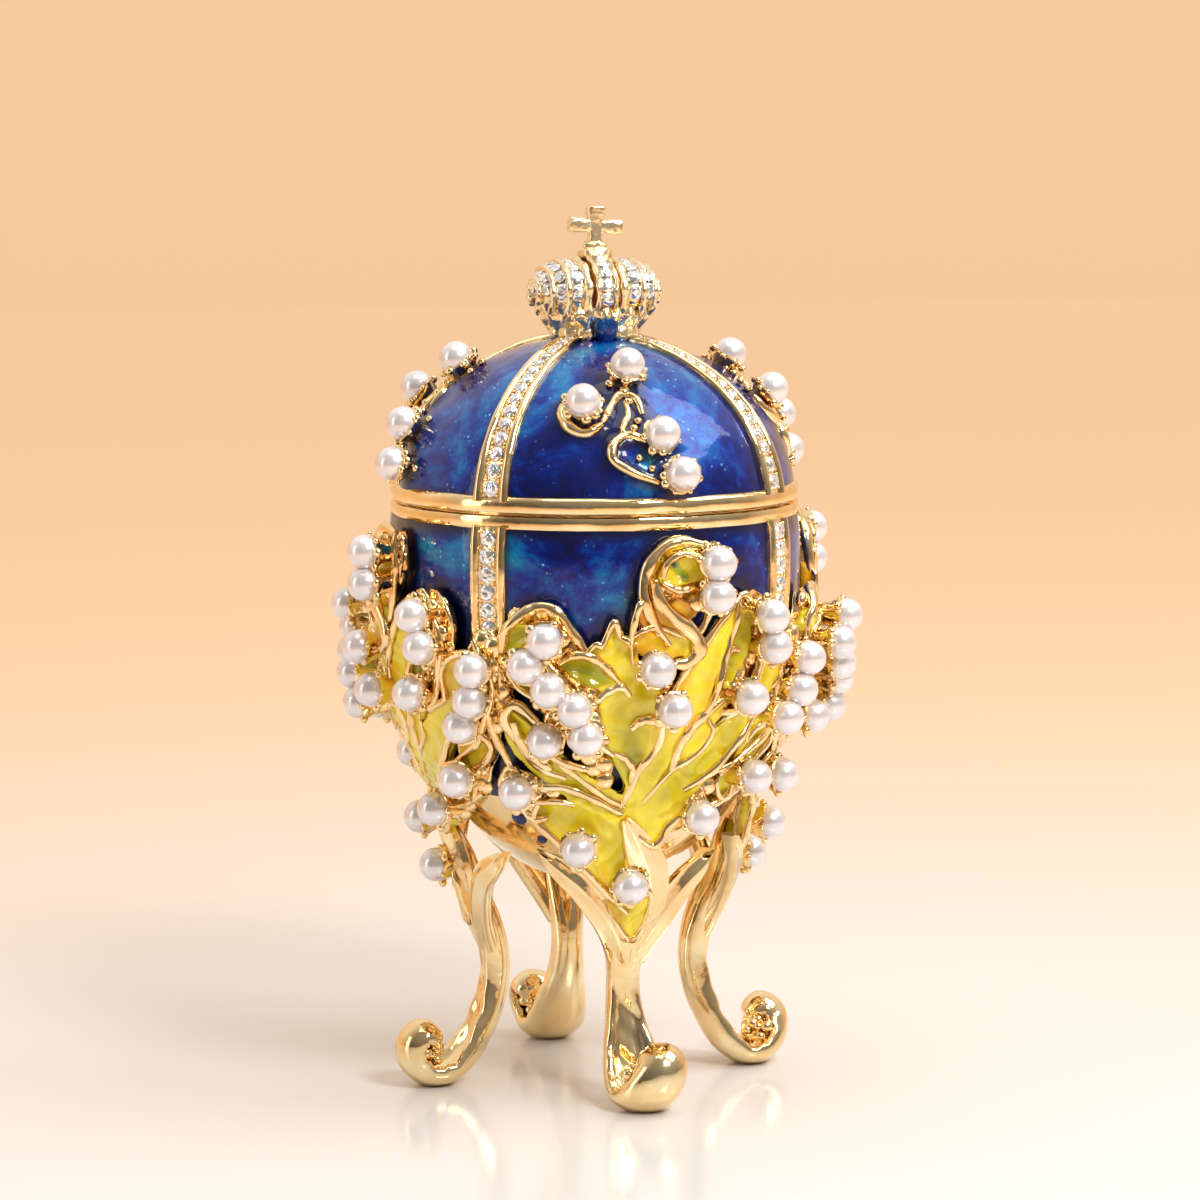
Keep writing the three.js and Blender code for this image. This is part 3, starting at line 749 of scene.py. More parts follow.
def nuggets(shape, strips, covered, low, high, pitch, seed):
    """Cast grains of many sizes over the strips, where no leaf covers them."""
    chance = np.random.default_rng(seed)
    degrees_pitch = pitch / (math.radians(1) * MEAN_RADIUS)
    degrees, z = quarter_grid(degrees_pitch, np.arange(24, 63, pitch * 0.87))
    degrees = degrees + (np.arange(len(z)) % 2)[:, None] * degrees_pitch / 2
    degrees = (degrees + chance.uniform(-0.3, 0.3, degrees.shape) * degrees_pitch).reshape(-1)
    z = (z + chance.uniform(-0.3, 0.3, z.shape) * pitch).reshape(-1)
    inside = clearance_of(strips, degrees, z)[0]
    hidden = clearance_of(covered, degrees, z)[0]
    size = chance.uniform(0.4, 0.8, len(z)) * pitch
    lift = chance.uniform(low, high, len(z))
    for i in np.nonzero((inside > 0.15) & (hidden < -0.25))[0]:
        outward = round_axis(degrees[i], 1, 0)
        shape.add(*ball(over_casting(degrees[i], z[i], lift[i]), size[i], 12, 8, outward, 0.62))


def ridge(shape, places, half, lift=None, press=0.85, sides=8):
    """A raised line along the casting; it swells in the middle and sinks at both ends."""
    rows = smooth_row(places, 7)
    share = np.linspace(0, 1, len(rows))
    if lift is None:
        _, near, parts = clearance_of(ENAMEL_LEAVES, rows[:, 0], rows[:, 1])
        lift = np.clip(dished(near, parts), 1.15, 2.6)
        lift = np.convolve(np.pad(lift, 3, mode="edge"), np.ones(7) / 7, mode="valid")
    swell = half * (0.45 + 0.55 * np.sin(math.pi * np.clip(share, 0.02, 0.98)) ** 0.5)
    swell = swell * (1 + 0.12 * np.sin(share * 23 + half * 50))
    shape.add(*sweep(*casting_line(rows, lift), swell, swell * press, round_section(sides)))


# Pearls: the rows of the solids, and single ones that the solids leave out
PEARL_ROWS = [
    (HOOD_TOP, [(12.5, 59), (12.3, 55.4)]),
    (LEAF_TOP, [(28.8, 52.9), (30.6, 49.4)]),
    (LEAF_TOP, [(24.8, 44.4)]),
    (LEAF_TOP, [(45.2, 47.7), (43.8, 44.2), (39.8, 41.4)]),
    (LEAF_TOP, [(33.8, 35.3)]),
    (SHOULDER_TOP, [(-26.2, 51.3), (-30.8, 48.5), (-25.6, 46.1), (-19.3, 43.9), (-17.1, 40.7)]),
    (LEAF_TOP, [(-0.8, 48.1)]),
    (LEAF_TOP, [(3.9, 43.7)]),
    (LEAF_TOP, [(18.2, 31.3)]),
]
SINGLE_PEARLS = [(-27.8, 40.4), (-37.6, 34.5), (-20.6, 28.2), (-2.8, 23.9)]
BODY_NODES = ["hood", "upper", "blade", "rib", "right_leaf", "shoulder", "middle", "tall_blade", "low_right"]
LID_PEARLS = [(-2.2, 0.766), (-18.9, 0.589), (3.8, 0.423), (7.8, 0.217)]


def body_pearls():
    centres = []
    for top, places in PEARL_ROWS:
        before = None
        for degrees, z in places:
            centre = over_casting(degrees, z, top + PEARL_GAP + PEARL_RADIUS)
            if before is not None:
                centre = before + unit(centre - before) * PEARL_STEP
            centres.append(centre)
            before = centre
    centres += [over_casting(degrees, z, LEAF_TOP + 0.1 + PEARL_RADIUS) for degrees, z in SINGLE_PEARLS]
    return [(centre, unit(centre * [1, 1, 0])) for centre in centres]


def dome_place(degrees, share):
    """A point on the lid and the direction straight out of it."""
    z = SEAM_Z + LID_HEIGHT * share
    r = float(lid_radius(z))
    slope = unit(np.array([r / SEAM_RADIUS**2, (z - SEAM_Z) / LID_HEIGHT**2]))
    outward = round_axis(degrees, slope[0], slope[1])
    return round_axis(degrees, r, z), outward


def lid_pearls():
    found = []
    for degrees, share in LID_PEARLS:
        point, outward = dome_place(degrees, share)
        found.append((point + outward * (PEARL_RADIUS + PEARL_GAP), outward))
    return found


def cup(shape, centre, outward, depth, grains, phase):
    """A cast cup that holds a pearl, with uneven grains round its mouth."""
    first = unit(np.cross(outward, [0.2, 0.1, 0.97]))
    second = np.cross(outward, first)
    turn = circle(28)
    spokes = np.cos(turn)[:, None] * first + np.sin(turn)[:, None] * second
    uneven = 1 + 0.05 * np.sin(turn * 3 + phase)[:, None] + 0.03 * np.sin(turn * 7 + 2 * phase)[:, None]
    rings = [(1.15, -depth), (1.35, -1.75), (1.72, -1.2), (1.98, -0.72)]
    rings += [(2.02, -0.5), (1.8, -0.42), (1.5, -0.7)]
    corners = np.vstack([centre + spokes * uneven * r + outward * h for r, h in rings])
    shape.add(corners, ring_faces(len(rings), 28))
    for i in range(grains):
        angle = phase + (i + 0.34 * math.sin(5 * i + phase)) * 2 * math.pi / grains
        spoke = math.cos(angle) * first + math.sin(angle) * second
        size = 0.3 + 0.26 * math.sin(2.4 * i + phase) ** 2
        place = centre + spoke * (1.82 + size * 0.3) - outward * (0.6 - 0.2 * math.sin(3 * i))
        shape.add(*ball(place, size, 10, 7, outward, 0.85))


# Bowl

# Blue spots on the gilt underside: degrees, height, radius
UNDER_SPOTS = [(43, 30.6, 0.9), (50, 28.2, 0.6)]


def painted_shade(degrees, z):
    """Painted shade: 1 where the bowl's enamel is painted dark beside the castings, the bands and the rim,
    where shade falls.
    """
    nearest = np.full(degrees.shape, -99.0)
    for turn in range(4):
        local = (degrees - turn * 90 + 180) % 360 - 180
        inside, _, _ = clearance_of(ENAMEL_LEAVES + GILT_GROUND, local, z)
        nearest = np.maximum(nearest, np.where(np.abs(local) < 60, inside, -99))
    to_band = (np.abs((degrees % 90) - 45)) * math.radians(1) * MEAN_RADIUS - BAND_HALF_FOOT
    nearest = np.maximum(nearest, -to_band - 0.9)
    nearest = np.maximum(nearest, z - (SEAM_Z - 1.5))
    return eased((nearest + SHADE_REACH) / SHADE_WIDTH)


def add_bowl():
    foot = SEAM_Z - SEAM_GAP / 2
    sides = 240
    heights = np.linspace(foot - RIM_HEIGHT + 0.3, ENAMEL_BOTTOM_Z, 80)
    outside = np.stack([bowl_radius(heights), heights], -1)
    inside = outside[::-1] - [ENAMEL, 0]
    profile = np.vstack([outside, inside, outside[:1]])
    corners, faces = lathe(profile, sides)
    # The tone paints shade on the enamel beside the castings, the bands and the rim.
    enamel = Shape().add(corners, faces, painted_shade(degrees_of(corners), corners[:, 2]))
    make_piece("bowl_enamel", enamel, BLUE, ["bowl"])

    gold = Shape()
    lip_out = SEAM_RADIUS - LID_WALL - LIP_CLEARANCE
    low = np.linspace(ENAMEL_BOTTOM_Z + 0.4, BELLY_Z - BOWL_DEPTH + 0.001, 26)
    inner = np.linspace(BELLY_Z - BOWL_DEPTH * 0.955, foot - RIM_HEIGHT, 30)
    profile = [(0.01, inner[0] + 1.35)]
    for i, z in enumerate(inner):
        profile.append((max(float(bowl_radius(z)) - BOWL_WALL * 1.04, 0.02), z + 1.35 * (1 - i / 29)))
    profile += [(lip_out - LIP_WALL, foot - RIM_HEIGHT + 0.2), (lip_out - LIP_WALL, foot + LIP_HEIGHT - 0.2)]
    profile += [(lip_out - LIP_WALL + 0.2, foot + LIP_HEIGHT), (lip_out - 0.2, foot + LIP_HEIGHT)]
    profile += [(lip_out, foot + LIP_HEIGHT - 0.2), (lip_out, foot - 0.2), (SEAM_RADIUS - 1.2, foot)]
    profile += rim_profile(foot, -1)
    under_enamel = np.linspace(foot - RIM_HEIGHT - 0.6, ENAMEL_BOTTOM_Z + 1, 14)
    profile += [(float(bowl_radius(z)) - 0.2, z) for z in under_enamel]
    profile += [(float(bowl_radius(z)), z) for z in low]
    gold.add(*lathe(profile, 160, rim_wobble(foot)))
    heights = np.linspace(SEAM_Z - SEAM_GAP / 2 - RIM_HEIGHT + 0.5, 49.4, 24)
    rows = np.stack([0 * heights, -bowl_radius(heights), heights], -1)
    outs = np.tile([0.0, -1.0, 0.0], (len(rows), 1))
    for turn in range(4):
        add_band(gold, STONES, rows, outs, np.full(len(rows), BAND_HALF_FOOT), turn, 1.2)
    make_piece("bowl_gilt", gold, GILT, ["bowl"], sharp=50)
    spots = Shape()
    for turn in range(4):
        for degrees, z, size in UNDER_SPOTS:
            outward = unit(round_axis(degrees + 90 * turn, 1, -0.5))
            centre = round_axis(degrees + 90 * turn, bowl_radius(z), z)
            # The spots are painted most of the way to the enamel's near-black shade colour (tone 0.75), as
            # they lie under the bowl.
            spots.add(*ball(centre, size, 16, 8, outward, 0.4), 0.75)
    make_piece("bowl_spots", spots, BLUE)


def rim_profile(foot, direction):
    """The rounded gilt band at the joint, from the joint outwards."""
    edge = SEAM_RADIUS + RIM_PROUD
    steps = [(0.5, 0), (0.12, 0.08), (0, 0.35), (0.02, 0.8), (0.08, 1.2), (0.25, 1.5), (0.5, RIM_HEIGHT)]
    return [(edge - inset, foot + direction * rise) for inset, rise in steps]


def rim_wobble(foot):
    """Small unevenness of the bands, which were finished by hand."""

    def bend(angle, r, z):
        near = np.exp(-(((z - foot) / 1.6) ** 2)) * (r > SEAM_RADIUS - 0.6)
        r = r - near * 0.07 * (1 + np.sin(angle * 17 + 2 * np.sin(angle * 5)))
        far = np.clip(np.abs(z - foot) / RIM_HEIGHT, 0, 1) * near
        z = z + far * 0.1 * np.sin(angle * 11 + 1.5 * np.sin(angle * 7 + 1))
        return r, z

    return bend


STONES = Shape()
LID_STONES = Shape()


def add_band(shape, stones, rows, outs, halves, turn, first_stone):
    """A gold channel up a meridian: a bed, two rails, round stones that fill it, and grains between them."""
    rows, outs = turned(rows, 45 + 90 * turn), turned(outs, 45 + 90 * turn)
    along = unit(np.gradient(rows, axis=0))
    side = unit(np.cross(along, outs))
    bed = [(-1, -0.5), (1, -0.5), (1, 0.24), (-1, 0.24)]
    shape.add(*sweep(rows, outs, halves, 1.0, bed))
    rail_half = 0.26 * halves
    for hand in (-1, 1):
        rail = rows + side * (halves - rail_half)[:, None] * hand + outs * 0.16
        waver = rail_half * (1 + 0.09 * np.sin(np.arange(len(rows)) * 0.8 + turn + 2 * hand))
        shape.add(*sweep(rail, outs, waver, 0.5, round_section(12)))
    length = lengths_along(rows)
    at = first_stone
    i = 0
    while at < length[-1] - 0.5:
        half = np.interp(at, length, halves)
        size = half * 0.44
        centre = row_at(at, length, rows)
        out = unit(row_at(at, length, outs))
        across = row_at(at, length, side)
        lean = unit(out + 0.12 * math.sin(7 * i + turn) * across)
        stones.add(*stone(centre + out * 0.36, lean, size, 0.7 * i + turn))
        for hand in (-1, 1):
            for reach in (-0.5, 0.5):
                grain = centre + across * hand * size * 0.85
                grain = grain + np.cross(out, across) * size * 1.6 * reach + out * 0.36
                shape.add(*ball(grain, 0.17, 8, 5, out))
        at += 2 * size + 0.03
        i += 1


# Lid

# Gold wires on each quarter of the lid: places as degrees and share of the dome's height, then half width
LID_CURLS = [
    ([(-12.9, 0.53), (-9.6, 0.62), (-5.6, 0.68), (-0.6, 0.66), (0.6, 0.57)], 0.5),
    ([(-4.6, 0.64), (-4.2, 0.57), (-6.8, 0.49), (-5, 0.44)], 0.4),
    ([(1, 0.42), (-5, 0.46), (-9.6, 0.41), (-9.8, 0.32), (-4.6, 0.25), (2.4, 0.19)], 0.58),
    ([(-26.5, 0.62), (-25.4, 0.54), (-18.9, 0.47), (-12.9, 0.52)], 0.65),
    ([(-3, 0.74), (-4, 0.70), (-4.8, 0.66)], 0.5),
]
# Grains beside the pearls: degrees, share of height, radius
LID_GRAINS = [
    *[(-9.5, 0.73, 0.5), (-7.5, 0.76, 0.42), (-4.6, 0.685, 0.52), (-3.4, 0.635, 0.45), (-26, 0.66, 0.45)],
    *[(-22.5, 0.7, 0.4), (-11, 0.57, 0.4), (-3.2, 0.49, 0.45), (-1.5, 0.53, 0.42), (-2.6, 0.33, 0.4)],
    *[(0.8, 0.27, 0.42), (14, 0.22, 0.38), (6, 0.77, 0.4), (4, 0.82, 0.45), (9, 0.5, 0.38)],
]


def add_lid():
    foot = SEAM_Z + SEAM_GAP / 2
    start = math.asin((RIM_HEIGHT - 0.3 + SEAM_GAP / 2) / LID_HEIGHT)
    angles = np.linspace(start, math.pi / 2 - 0.02, 90)
    outside = np.stack([SEAM_RADIUS * np.cos(angles), SEAM_Z + LID_HEIGHT * np.sin(angles)], -1)
    thin_r, thin_h = SEAM_RADIUS - ENAMEL, LID_HEIGHT - ENAMEL
    inside = np.stack([thin_r * np.cos(angles), SEAM_Z + thin_h * np.sin(angles)], -1)[::-1]
    corners, faces = lathe(np.vstack([outside, inside, outside[:1]]), 240)
    degrees = degrees_of(corners)
    radius = np.hypot(corners[:, 0], corners[:, 1])
    to_band = np.abs((degrees % 90) - 45) * math.radians(1) * radius - 1.8
    nearest = np.maximum(-to_band - 0.9, (SEAM_Z + 1.2) - corners[:, 2])
    swell = np.zeros(len(corners))
    # Rises: places, reach of the painted shade round them, and height and width of the swell under them.
    rises = [(LID_PEARLS, 1.5, 0.75, 2.5)]
    rises += [(smooth_row(places, 4), 0.3, 0.4, 1.1) for places, _ in LID_CURLS]
    for turn in range(4):
        for places, shade_spread, height, width in rises:
            for degrees_at, share in places:
                point, _ = dome_place(degrees_at + 90 * turn, share)
                gap = np.linalg.norm(corners - point, axis=1)
                nearest = np.maximum(nearest, shade_spread - gap)
                swell = np.maximum(swell, height * np.exp(-((gap / width) ** 2)))
    outs = unit(np.stack([corners[:, 0], corners[:, 1], (corners[:, 2] - SEAM_Z) * 1.5], -1))
    corners = corners + outs * swell[:, None]
    # Painted shade: the enamel is painted nearly black beside the bands, the rim, the pearls and the gold
    # wires.
    enamel = Shape().add(corners, faces, eased((nearest + 1.5) / 1.6))
    make_piece("lid_enamel", enamel, BLUE, ["lid"])

    gold = Shape()
    wall_r, wall_h = SEAM_RADIUS - LID_WALL, LID_HEIGHT - LID_WALL
    hollow = np.linspace(math.pi / 2 - 0.001, 0.03, 30)
    profile = [(wall_r * math.cos(a), SEAM_Z + wall_h * math.sin(a)) for a in hollow]
    profile += rim_profile(foot, 1)
    cover = np.linspace(start + 0.02, math.pi / 2 - 0.001, 30)
    profile += [((thin_r + 0.1) * math.cos(a), SEAM_Z + (thin_h + 0.1) * math.sin(a)) for a in cover]
    gold.add(*lathe(profile, 160, rim_wobble(foot)))
    for turn in range(4):
        add_lid_band(gold, turn)
    make_piece("lid_gilt", gold, GILT, ["lid"], sharp=50)

    trim = Shape()
    for turn in range(4):
        quarter = Shape()
        for i, (centre, outward) in enumerate(lid_pearls()):
            cup(quarter, centre, outward, 2.3, 9, i * 1.3 + 0.4)
        for places, half in LID_CURLS:
            lid_wire(quarter, places, half)
        for degrees_at, share, size in LID_GRAINS:
            point, outward = dome_place(degrees_at, share)
            quarter.add(*ball(point + outward * (0.35 + size * 0.5), size, 12, 8, outward, 0.85))
        trim.add_shape(quarter, 90 * turn)
    make_piece("lid_trim", trim, GILT, sharp=60)


def lid_wire(shape, places, half):
    rows = smooth_row(places, 8)
    pairs = [dome_place(degrees, share) for degrees, share in rows]
    points = np.array([point for point, _ in pairs])
    outs = np.array([outward for _, outward in pairs])
    share = np.linspace(0, 1, len(rows))
    swell = half * (0.6 + 0.4 * np.sin(math.pi * share)) * (1 + 0.12 * np.sin(share * 17))
    shape.add(*sweep(points + outs * 0.3, outs, swell, swell * 1.1, round_section(10)))


def add_lid_band(shape, turn):
    start = math.asin((RIM_HEIGHT - 0.4) / LID_HEIGHT)
    angles = np.linspace(start, math.acos(4.5 / SEAM_RADIUS), 44)
    rows = np.stack([0 * angles, -SEAM_RADIUS * np.cos(angles), SEAM_Z + LID_HEIGHT * np.sin(angles)], -1)
    outs = unit(np.stack([0 * angles, -LID_HEIGHT * np.cos(angles), SEAM_RADIUS * np.sin(angles)], -1))
    halves = np.interp(angles, [angles[0], angles[-1]], [BAND_HALF_FOOT, BAND_HALF_TOP])
    add_band(shape, LID_STONES, rows, outs, halves, turn, 1.3)


# Crown finial: two ribbed lobes and the arch between them
LOBE_Z = CROWN_Z + 4.3
LOBE_OUT = 3.1
LOBE_AXES = [3.6, 5.1, 3.2]
ARCH_REACH = 5.5
ARCH_RISE = 3.75
CROSS_ROUNDING = ("BEVEL", {"width": 0.00055, "segments": 6, "limit_method": "ANGLE"})


def lobe_ways(hand, tilt, spin):
    """Directions from a lobe's centre, at a tilt from the crown's long axis."""
    lean = math.radians(tilt)
    level = np.full(len(spin), hand * math.cos(lean))
    return np.stack([level, math.sin(lean) * np.cos(spin), math.sin(lean) * np.sin(spin)], -1)


def add_crown():
    gold, stones = Shape(), Shape()
    middle = [0, 0, LOBE_Z]
    seat = [(0.02, -0.3), (4.1, -0.62), (4.5, -0.3), (4.75, 0.3), (5.3, 1.1), (5.9, 1.9), (5.6, 2.8)]
    seat += [(4.4, 3.3), (0.02, 3.4)]

    def petalled(angle, r, z):
        lobes = 0.05 * np.sin(angle * 10 + 0.8 * z) + 0.035 * np.sin(angle * 23 - 1.7 * z)
        return r * (1 + lobes * (r > 3)) * (1 - 0.08 * np.cos(angle) ** 2 * (r > 3)), z + CROWN_Z

    gold.add(*lathe(seat, 140, petalled))
    for turn in (28, 56, 90, 124, 152, 208, 236, 270, 304, 332):
        outward = round_axis(turn, 1, 0.25)
        size = 1.15 + 0.2 * math.sin(turn)
        gold.add(*ball(round_axis(turn, 4.15, CROWN_Z + 0.1), size, 20, 12, unit(outward), 0.75))
    axes = np.array(LOBE_AXES)
    for hand in (-1, 1):
        centre = np.array([hand * LOBE_OUT, 0, LOBE_Z])
        corners, faces = ball([0, 0, 0], 1.0, 72, 36, (1, 0, 0))
        below = np.clip(-corners[:, 2] - 0.15, 0, 1)
        flutes = np.sin(np.arctan2(corners[:, 0] * hand + 0.2, np.abs(corners[:, 1])) * 11)
        # Tone paints the lobes' inner faces orange-brown: painted shade and reflection in the gap between
        # them.
        inner = np.clip((1.6 - (corners[:, 0] * axes[0] * hand + LOBE_OUT)) / 1.2, 0, 1)
        gold.add(corners * axes * (0.97 + 0.075 * below * flutes)[:, None] + centre, faces, inner)
        for tilt in (10, 37, 62, 88):
            ways = lobe_ways(hand, tilt, np.radians(np.linspace(-14, 194, 400)))
            ring = centre + ways * axes
            length = lengths_along(ring)
            count = max(1, int(round(length[-1] / 1.8)))
            for i in range(count):
                at = int(np.searchsorted(length, (i + 0.5) * length[-1] / count))
                out = unit(ways[at] / axes)
                sway = np.array([math.sin(5 * i + tilt), math.sin(3 * i), math.cos(4 * i + tilt)])
                size = 0.78 if i % 3 else 0.92
                stones.add(*stone(ring[at] - out * 0.02, unit(out + 0.2 * sway), size, 1.3 * i))
        for tilt, half in ((24, 0.34), (49.5, 0.36), (75, 0.36), (107, 0.5)):
            spin = np.radians(np.linspace(-60, 240, 80))
            ways = lobe_ways(hand, tilt, spin)
            outs = unit(ways / axes)
            swell = half * (1 + 0.2 * np.sin(spin * 9 + tilt))
            gold.add(*sweep(centre + ways * axes + outs * 0.16, outs, swell, swell * 1.2, round_section(8)))
    # The ball in the gap between the lobes is painted fully orange-brown (tone 1): painted shade and
    # reflection.
    corners, faces = ball(middle, 1.0, 40, 24)
    gold.add((corners - middle) * [2.3, 5.05, 3.55] + middle, faces, 1.0)
    turn = np.linspace(-0.62 * math.pi, 0.62 * math.pi, 61)
    rows = np.stack([0 * turn, ARCH_REACH * np.sin(turn), LOBE_Z + ARCH_RISE * np.cos(turn)], -1)
    outs = unit(np.stack([0 * turn, np.sin(turn) / ARCH_REACH, np.cos(turn) / ARCH_RISE], -1))
    # The bed under the arch's stones is painted orange-brown (tone 0.6): painted shade and reflection.
    gold.add(*sweep(rows - outs * 0.6, outs, 1.1, 0.75, [(-1, -1), (1, -1), (1, 0.75), (-1, 0.75)]), 0.6)
    for hand in (-1, 1):
        rail = rows + [hand * 0.98, 0, 0]
        waver = 0.28 * (1 + 0.25 * np.sin(turn * 12 + hand))
        gold.add(*sweep(rail, outs, waver, 0.36, round_section(8)))
    length = lengths_along(rows)
    for i, at in enumerate(np.arange(0.9, length[-1] - 0.5, 1.46)):
        centre = row_at(at, length, rows)
        out = unit(row_at(at, length, outs))
        if abs(centre[1]) > 1.7:
            lean = unit(out + [0.2 * math.sin(3 * i), 0, 0.1 * math.cos(5 * i)])
            stones.add(*stone(centre + out * 0.06, lean, 0.78, at))
    orb = [(0.02, -1.3), (1.0, -1.25), (1.6, -0.8), (1.85, -0.2), (1.7, 0.35), (1.25, 0.6), (1.3, 0.85)]
    orb += [(0.95, 1.25), (0.02, 1.3)]

    def hammered(angle, r, z):
        return r * (1 - 0.13 * np.sin(angle * 3 + z * 2.4) * (r > 0.5)), z + CROWN_Z + 8.5

    gold.add(*lathe(orb, 48, hammered))
    make_piece("crown_gilt", gold, HAMMERED, ["crown_finial"], sharp=55)
    make_piece("crown_stones", stones, CRYSTAL, sharp=0)

    rounding = [CROSS_ROUNDING]
    make_piece("crown_cross", add_cross(), HAMMERED, ["crown_finial"], sharp=50, modifiers=rounding)
    # Blue enamel under the lobes, painted half way to the enamel's near-black shade colour (tone 0.5), as it
    # sits in their shade.
    blob = Shape()
    corners, faces = ball([0, 0, 0], 1.0, 24, 14)
    for hand in (-1, 1):
        blob.add(corners * [1.35, 0.75, 1.7] + [0, hand * 4.75, CROWN_Z + 0.75], faces, 0.5)
    make_piece("crown_enamel", blob, BLUE)


def add_cross():
    """The cross: pillow-shaped arms, leaning a little."""
    cross = Shape()
    foot = CROWN_Z + 9.0
    top = CROWN_Z + 13.47
    arm = CROWN_Z + 8.5 + 0.65 + 4.35 * 0.51
    upright = [(foot, 0.85), (arm - 1.5, 0.78), (arm - 1.15, 0.66), (arm - 0.8, 0.72), (arm, 0.86)]
    upright += [(arm + 0.8, 0.84), (arm + 1.2, 1.0), (top - 0.3, 1.04), (top, 0.9)]
    pillow = bulged(round_section(20), 0.5)
    rows = np.array([(0, 0, z) for z, _ in upright])
    ahead = np.tile([0.0, -1.0, 0.0], (len(rows), 1))
    cross.add(*sweep(rows, ahead, [half for _, half in upright], 0.74, pillow))
    arms = [(-2.95, 0.74), (-2.7, 0.88), (-1.9, 0.84), (-1.1, 0.76), (0, 0.78)]
    arms += [(1.1, 0.74), (1.9, 0.82), (2.7, 0.88), (2.95, 0.74)]
    rows = np.array([(x, 0, arm - 0.03 * x) for x, _ in arms])
    cross.add(*sweep(rows, ahead, [half for _, half in arms], 0.7, pillow))
    lean = math.radians(2.2)
    tilted = np.vstack(cross.corners) - [0, 0, foot]
    c, s = math.cos(lean), math.sin(lean)
    tilted = tilted @ np.array([[c, 0, -s], [0, 1, 0], [s, 0, c]])
    return Shape().add(tilted + [0, 0, foot], cross.faces)


# Legs: radius, height, half width, half thickness, depth of the groove, roundness and drift to one side
LEG_PATH = [
    (15.3, 27.6, 0.3, 0.4, 0.1, 0.1, 0),
    (14.4, 25, 1.3, 0.9, 0.1, 0.1, 0),
    (13.6, 21.5, 2.3, 1.3, 0.3, 0.2, 0),
    (12, 17, 2.1, 1.6, 0.3, 0.1, 0),
    (11.3, 13, 1.75, 1.65, 0.35, 0.1, 0),
    (11.7, 9.4, 2.0, 1.6, 0.8, 0.2, 0),
    (12.9, 6.1, 2.7, 1.5, 1.1, 0.4, 0.1),
    (14.7, 2.95, 3.3, 1.4, 1.25, 0.6, 0.15),
    (17, 1.3, 3.55, 1.35, 1.2, 0.6, 0.3),
    (19.3, 1.4, 3.4, 1.4, 1.0, 0.7, 0.6),
    (21.05, 3.1, 3.0, 1.4, 0.8, 0.8, 1.2),
    (21.15, 5.1, 2.75, 1.4, 0.6, 0.8, 1.7),
    (19.8, 6.3, 2.6, 1.25, 0.4, 0.8, 1.8),
    (18.5, 5.7, 2.3, 0.9, 0.2, 0.5, 1.8),
    (18.2, 4.8, 1.8, 0.5, 0.1, 0.3, 1.7),
]


def leg_trunk(shape):
    """The leg's skin: a groove down its front that opens into the scroll's hollow, and a crowned back."""
    rows = smooth_row(LEG_PATH, 7)
    path = np.stack([rows[:, 6], -rows[:, 0], rows[:, 1]], -1)
    along = unit(np.gradient(rows[:, :2], axis=0))
    outward = np.stack([0 * along[:, 0], along[:, 1], along[:, 0]], -1)
    across = bulged(np.cos(circle(44)), 0.85)
    up = bulged(np.sin(circle(44)), 0.8)
    hollow = np.exp(-((across / 0.6) ** 4)) * (up > 0)
    sections = []
    for i, (_, _, _, thick, groove, crown, _) in enumerate(rows):
        drift = 0.12 * math.sin(i * 0.16)
        crease = 0.14 * np.exp(-(((across - 0.15 - drift) / 0.1) ** 2)) * (up > 0)
        fold = 0.1 * np.exp(-(((across + 0.4 - drift) / 0.12) ** 2)) * (up > 0)
        dents = 0.11 * groove * np.sin(i * 0.7 + 4 * across) * np.sin(i * 0.23 + 1.5 * across) * (up > 0)
        bent = up - (groove / thick) * hollow + crease - fold + dents + crown / thick * across**2
        sections.append(np.stack([across, bent], -1))
    corners, faces = sweep(path, outward, rows[:, 2], rows[:, 3], np.array(sections))
    corners[:, 2] = np.maximum(corners[:, 2], 0.0)
    shape.add(corners, faces)


SCROLL_GRAINS = 46
SCROLL_RADIUS = 18.7
SCROLL_Z = 3.9


def scroll_grains(shape):
    """Rough cast grains that fill the hollow of the scroll."""
    chance = np.random.default_rng(11)
    for _ in range(SCROLL_GRAINS):
        turn = chance.uniform(0, 2 * math.pi)
        reach = chance.uniform(0, 1) ** 0.5
        r, z = SCROLL_RADIUS + 1.5 * reach * math.cos(turn), SCROLL_Z + 1.1 * reach * math.sin(turn)
        x = chance.uniform(-1.9, 3.0)
        shape.add(*ball([x, -r, z - 0.12 * abs(x)], chance.uniform(0.45, 0.8), 9, 6, (0, 0, 1), 0.9))


BLADE_THICK = 1.0


def blade(shape, places, halves, lift, crease=0.35):
    """A cast blade that narrows along its length, with a raised line down its middle."""
    rows = smooth_row([(d, z, h, l) for (d, z), h, l in zip(places, halves, lift)], 8)
    top = 0.6 + crease
    section = [(-1, -0.2), (-0.9, 0.45), (-0.45, 0.42), (-0.12, top), (0.12, top), (0.45, 0.42)]
    section += [(0.9, 0.45), (1, -0.2), (0.6, -1), (-0.6, -1)]
    shape.add(*sweep(*casting_line(rows, rows[:, 3]), rows[:, 2], BLADE_THICK, section))


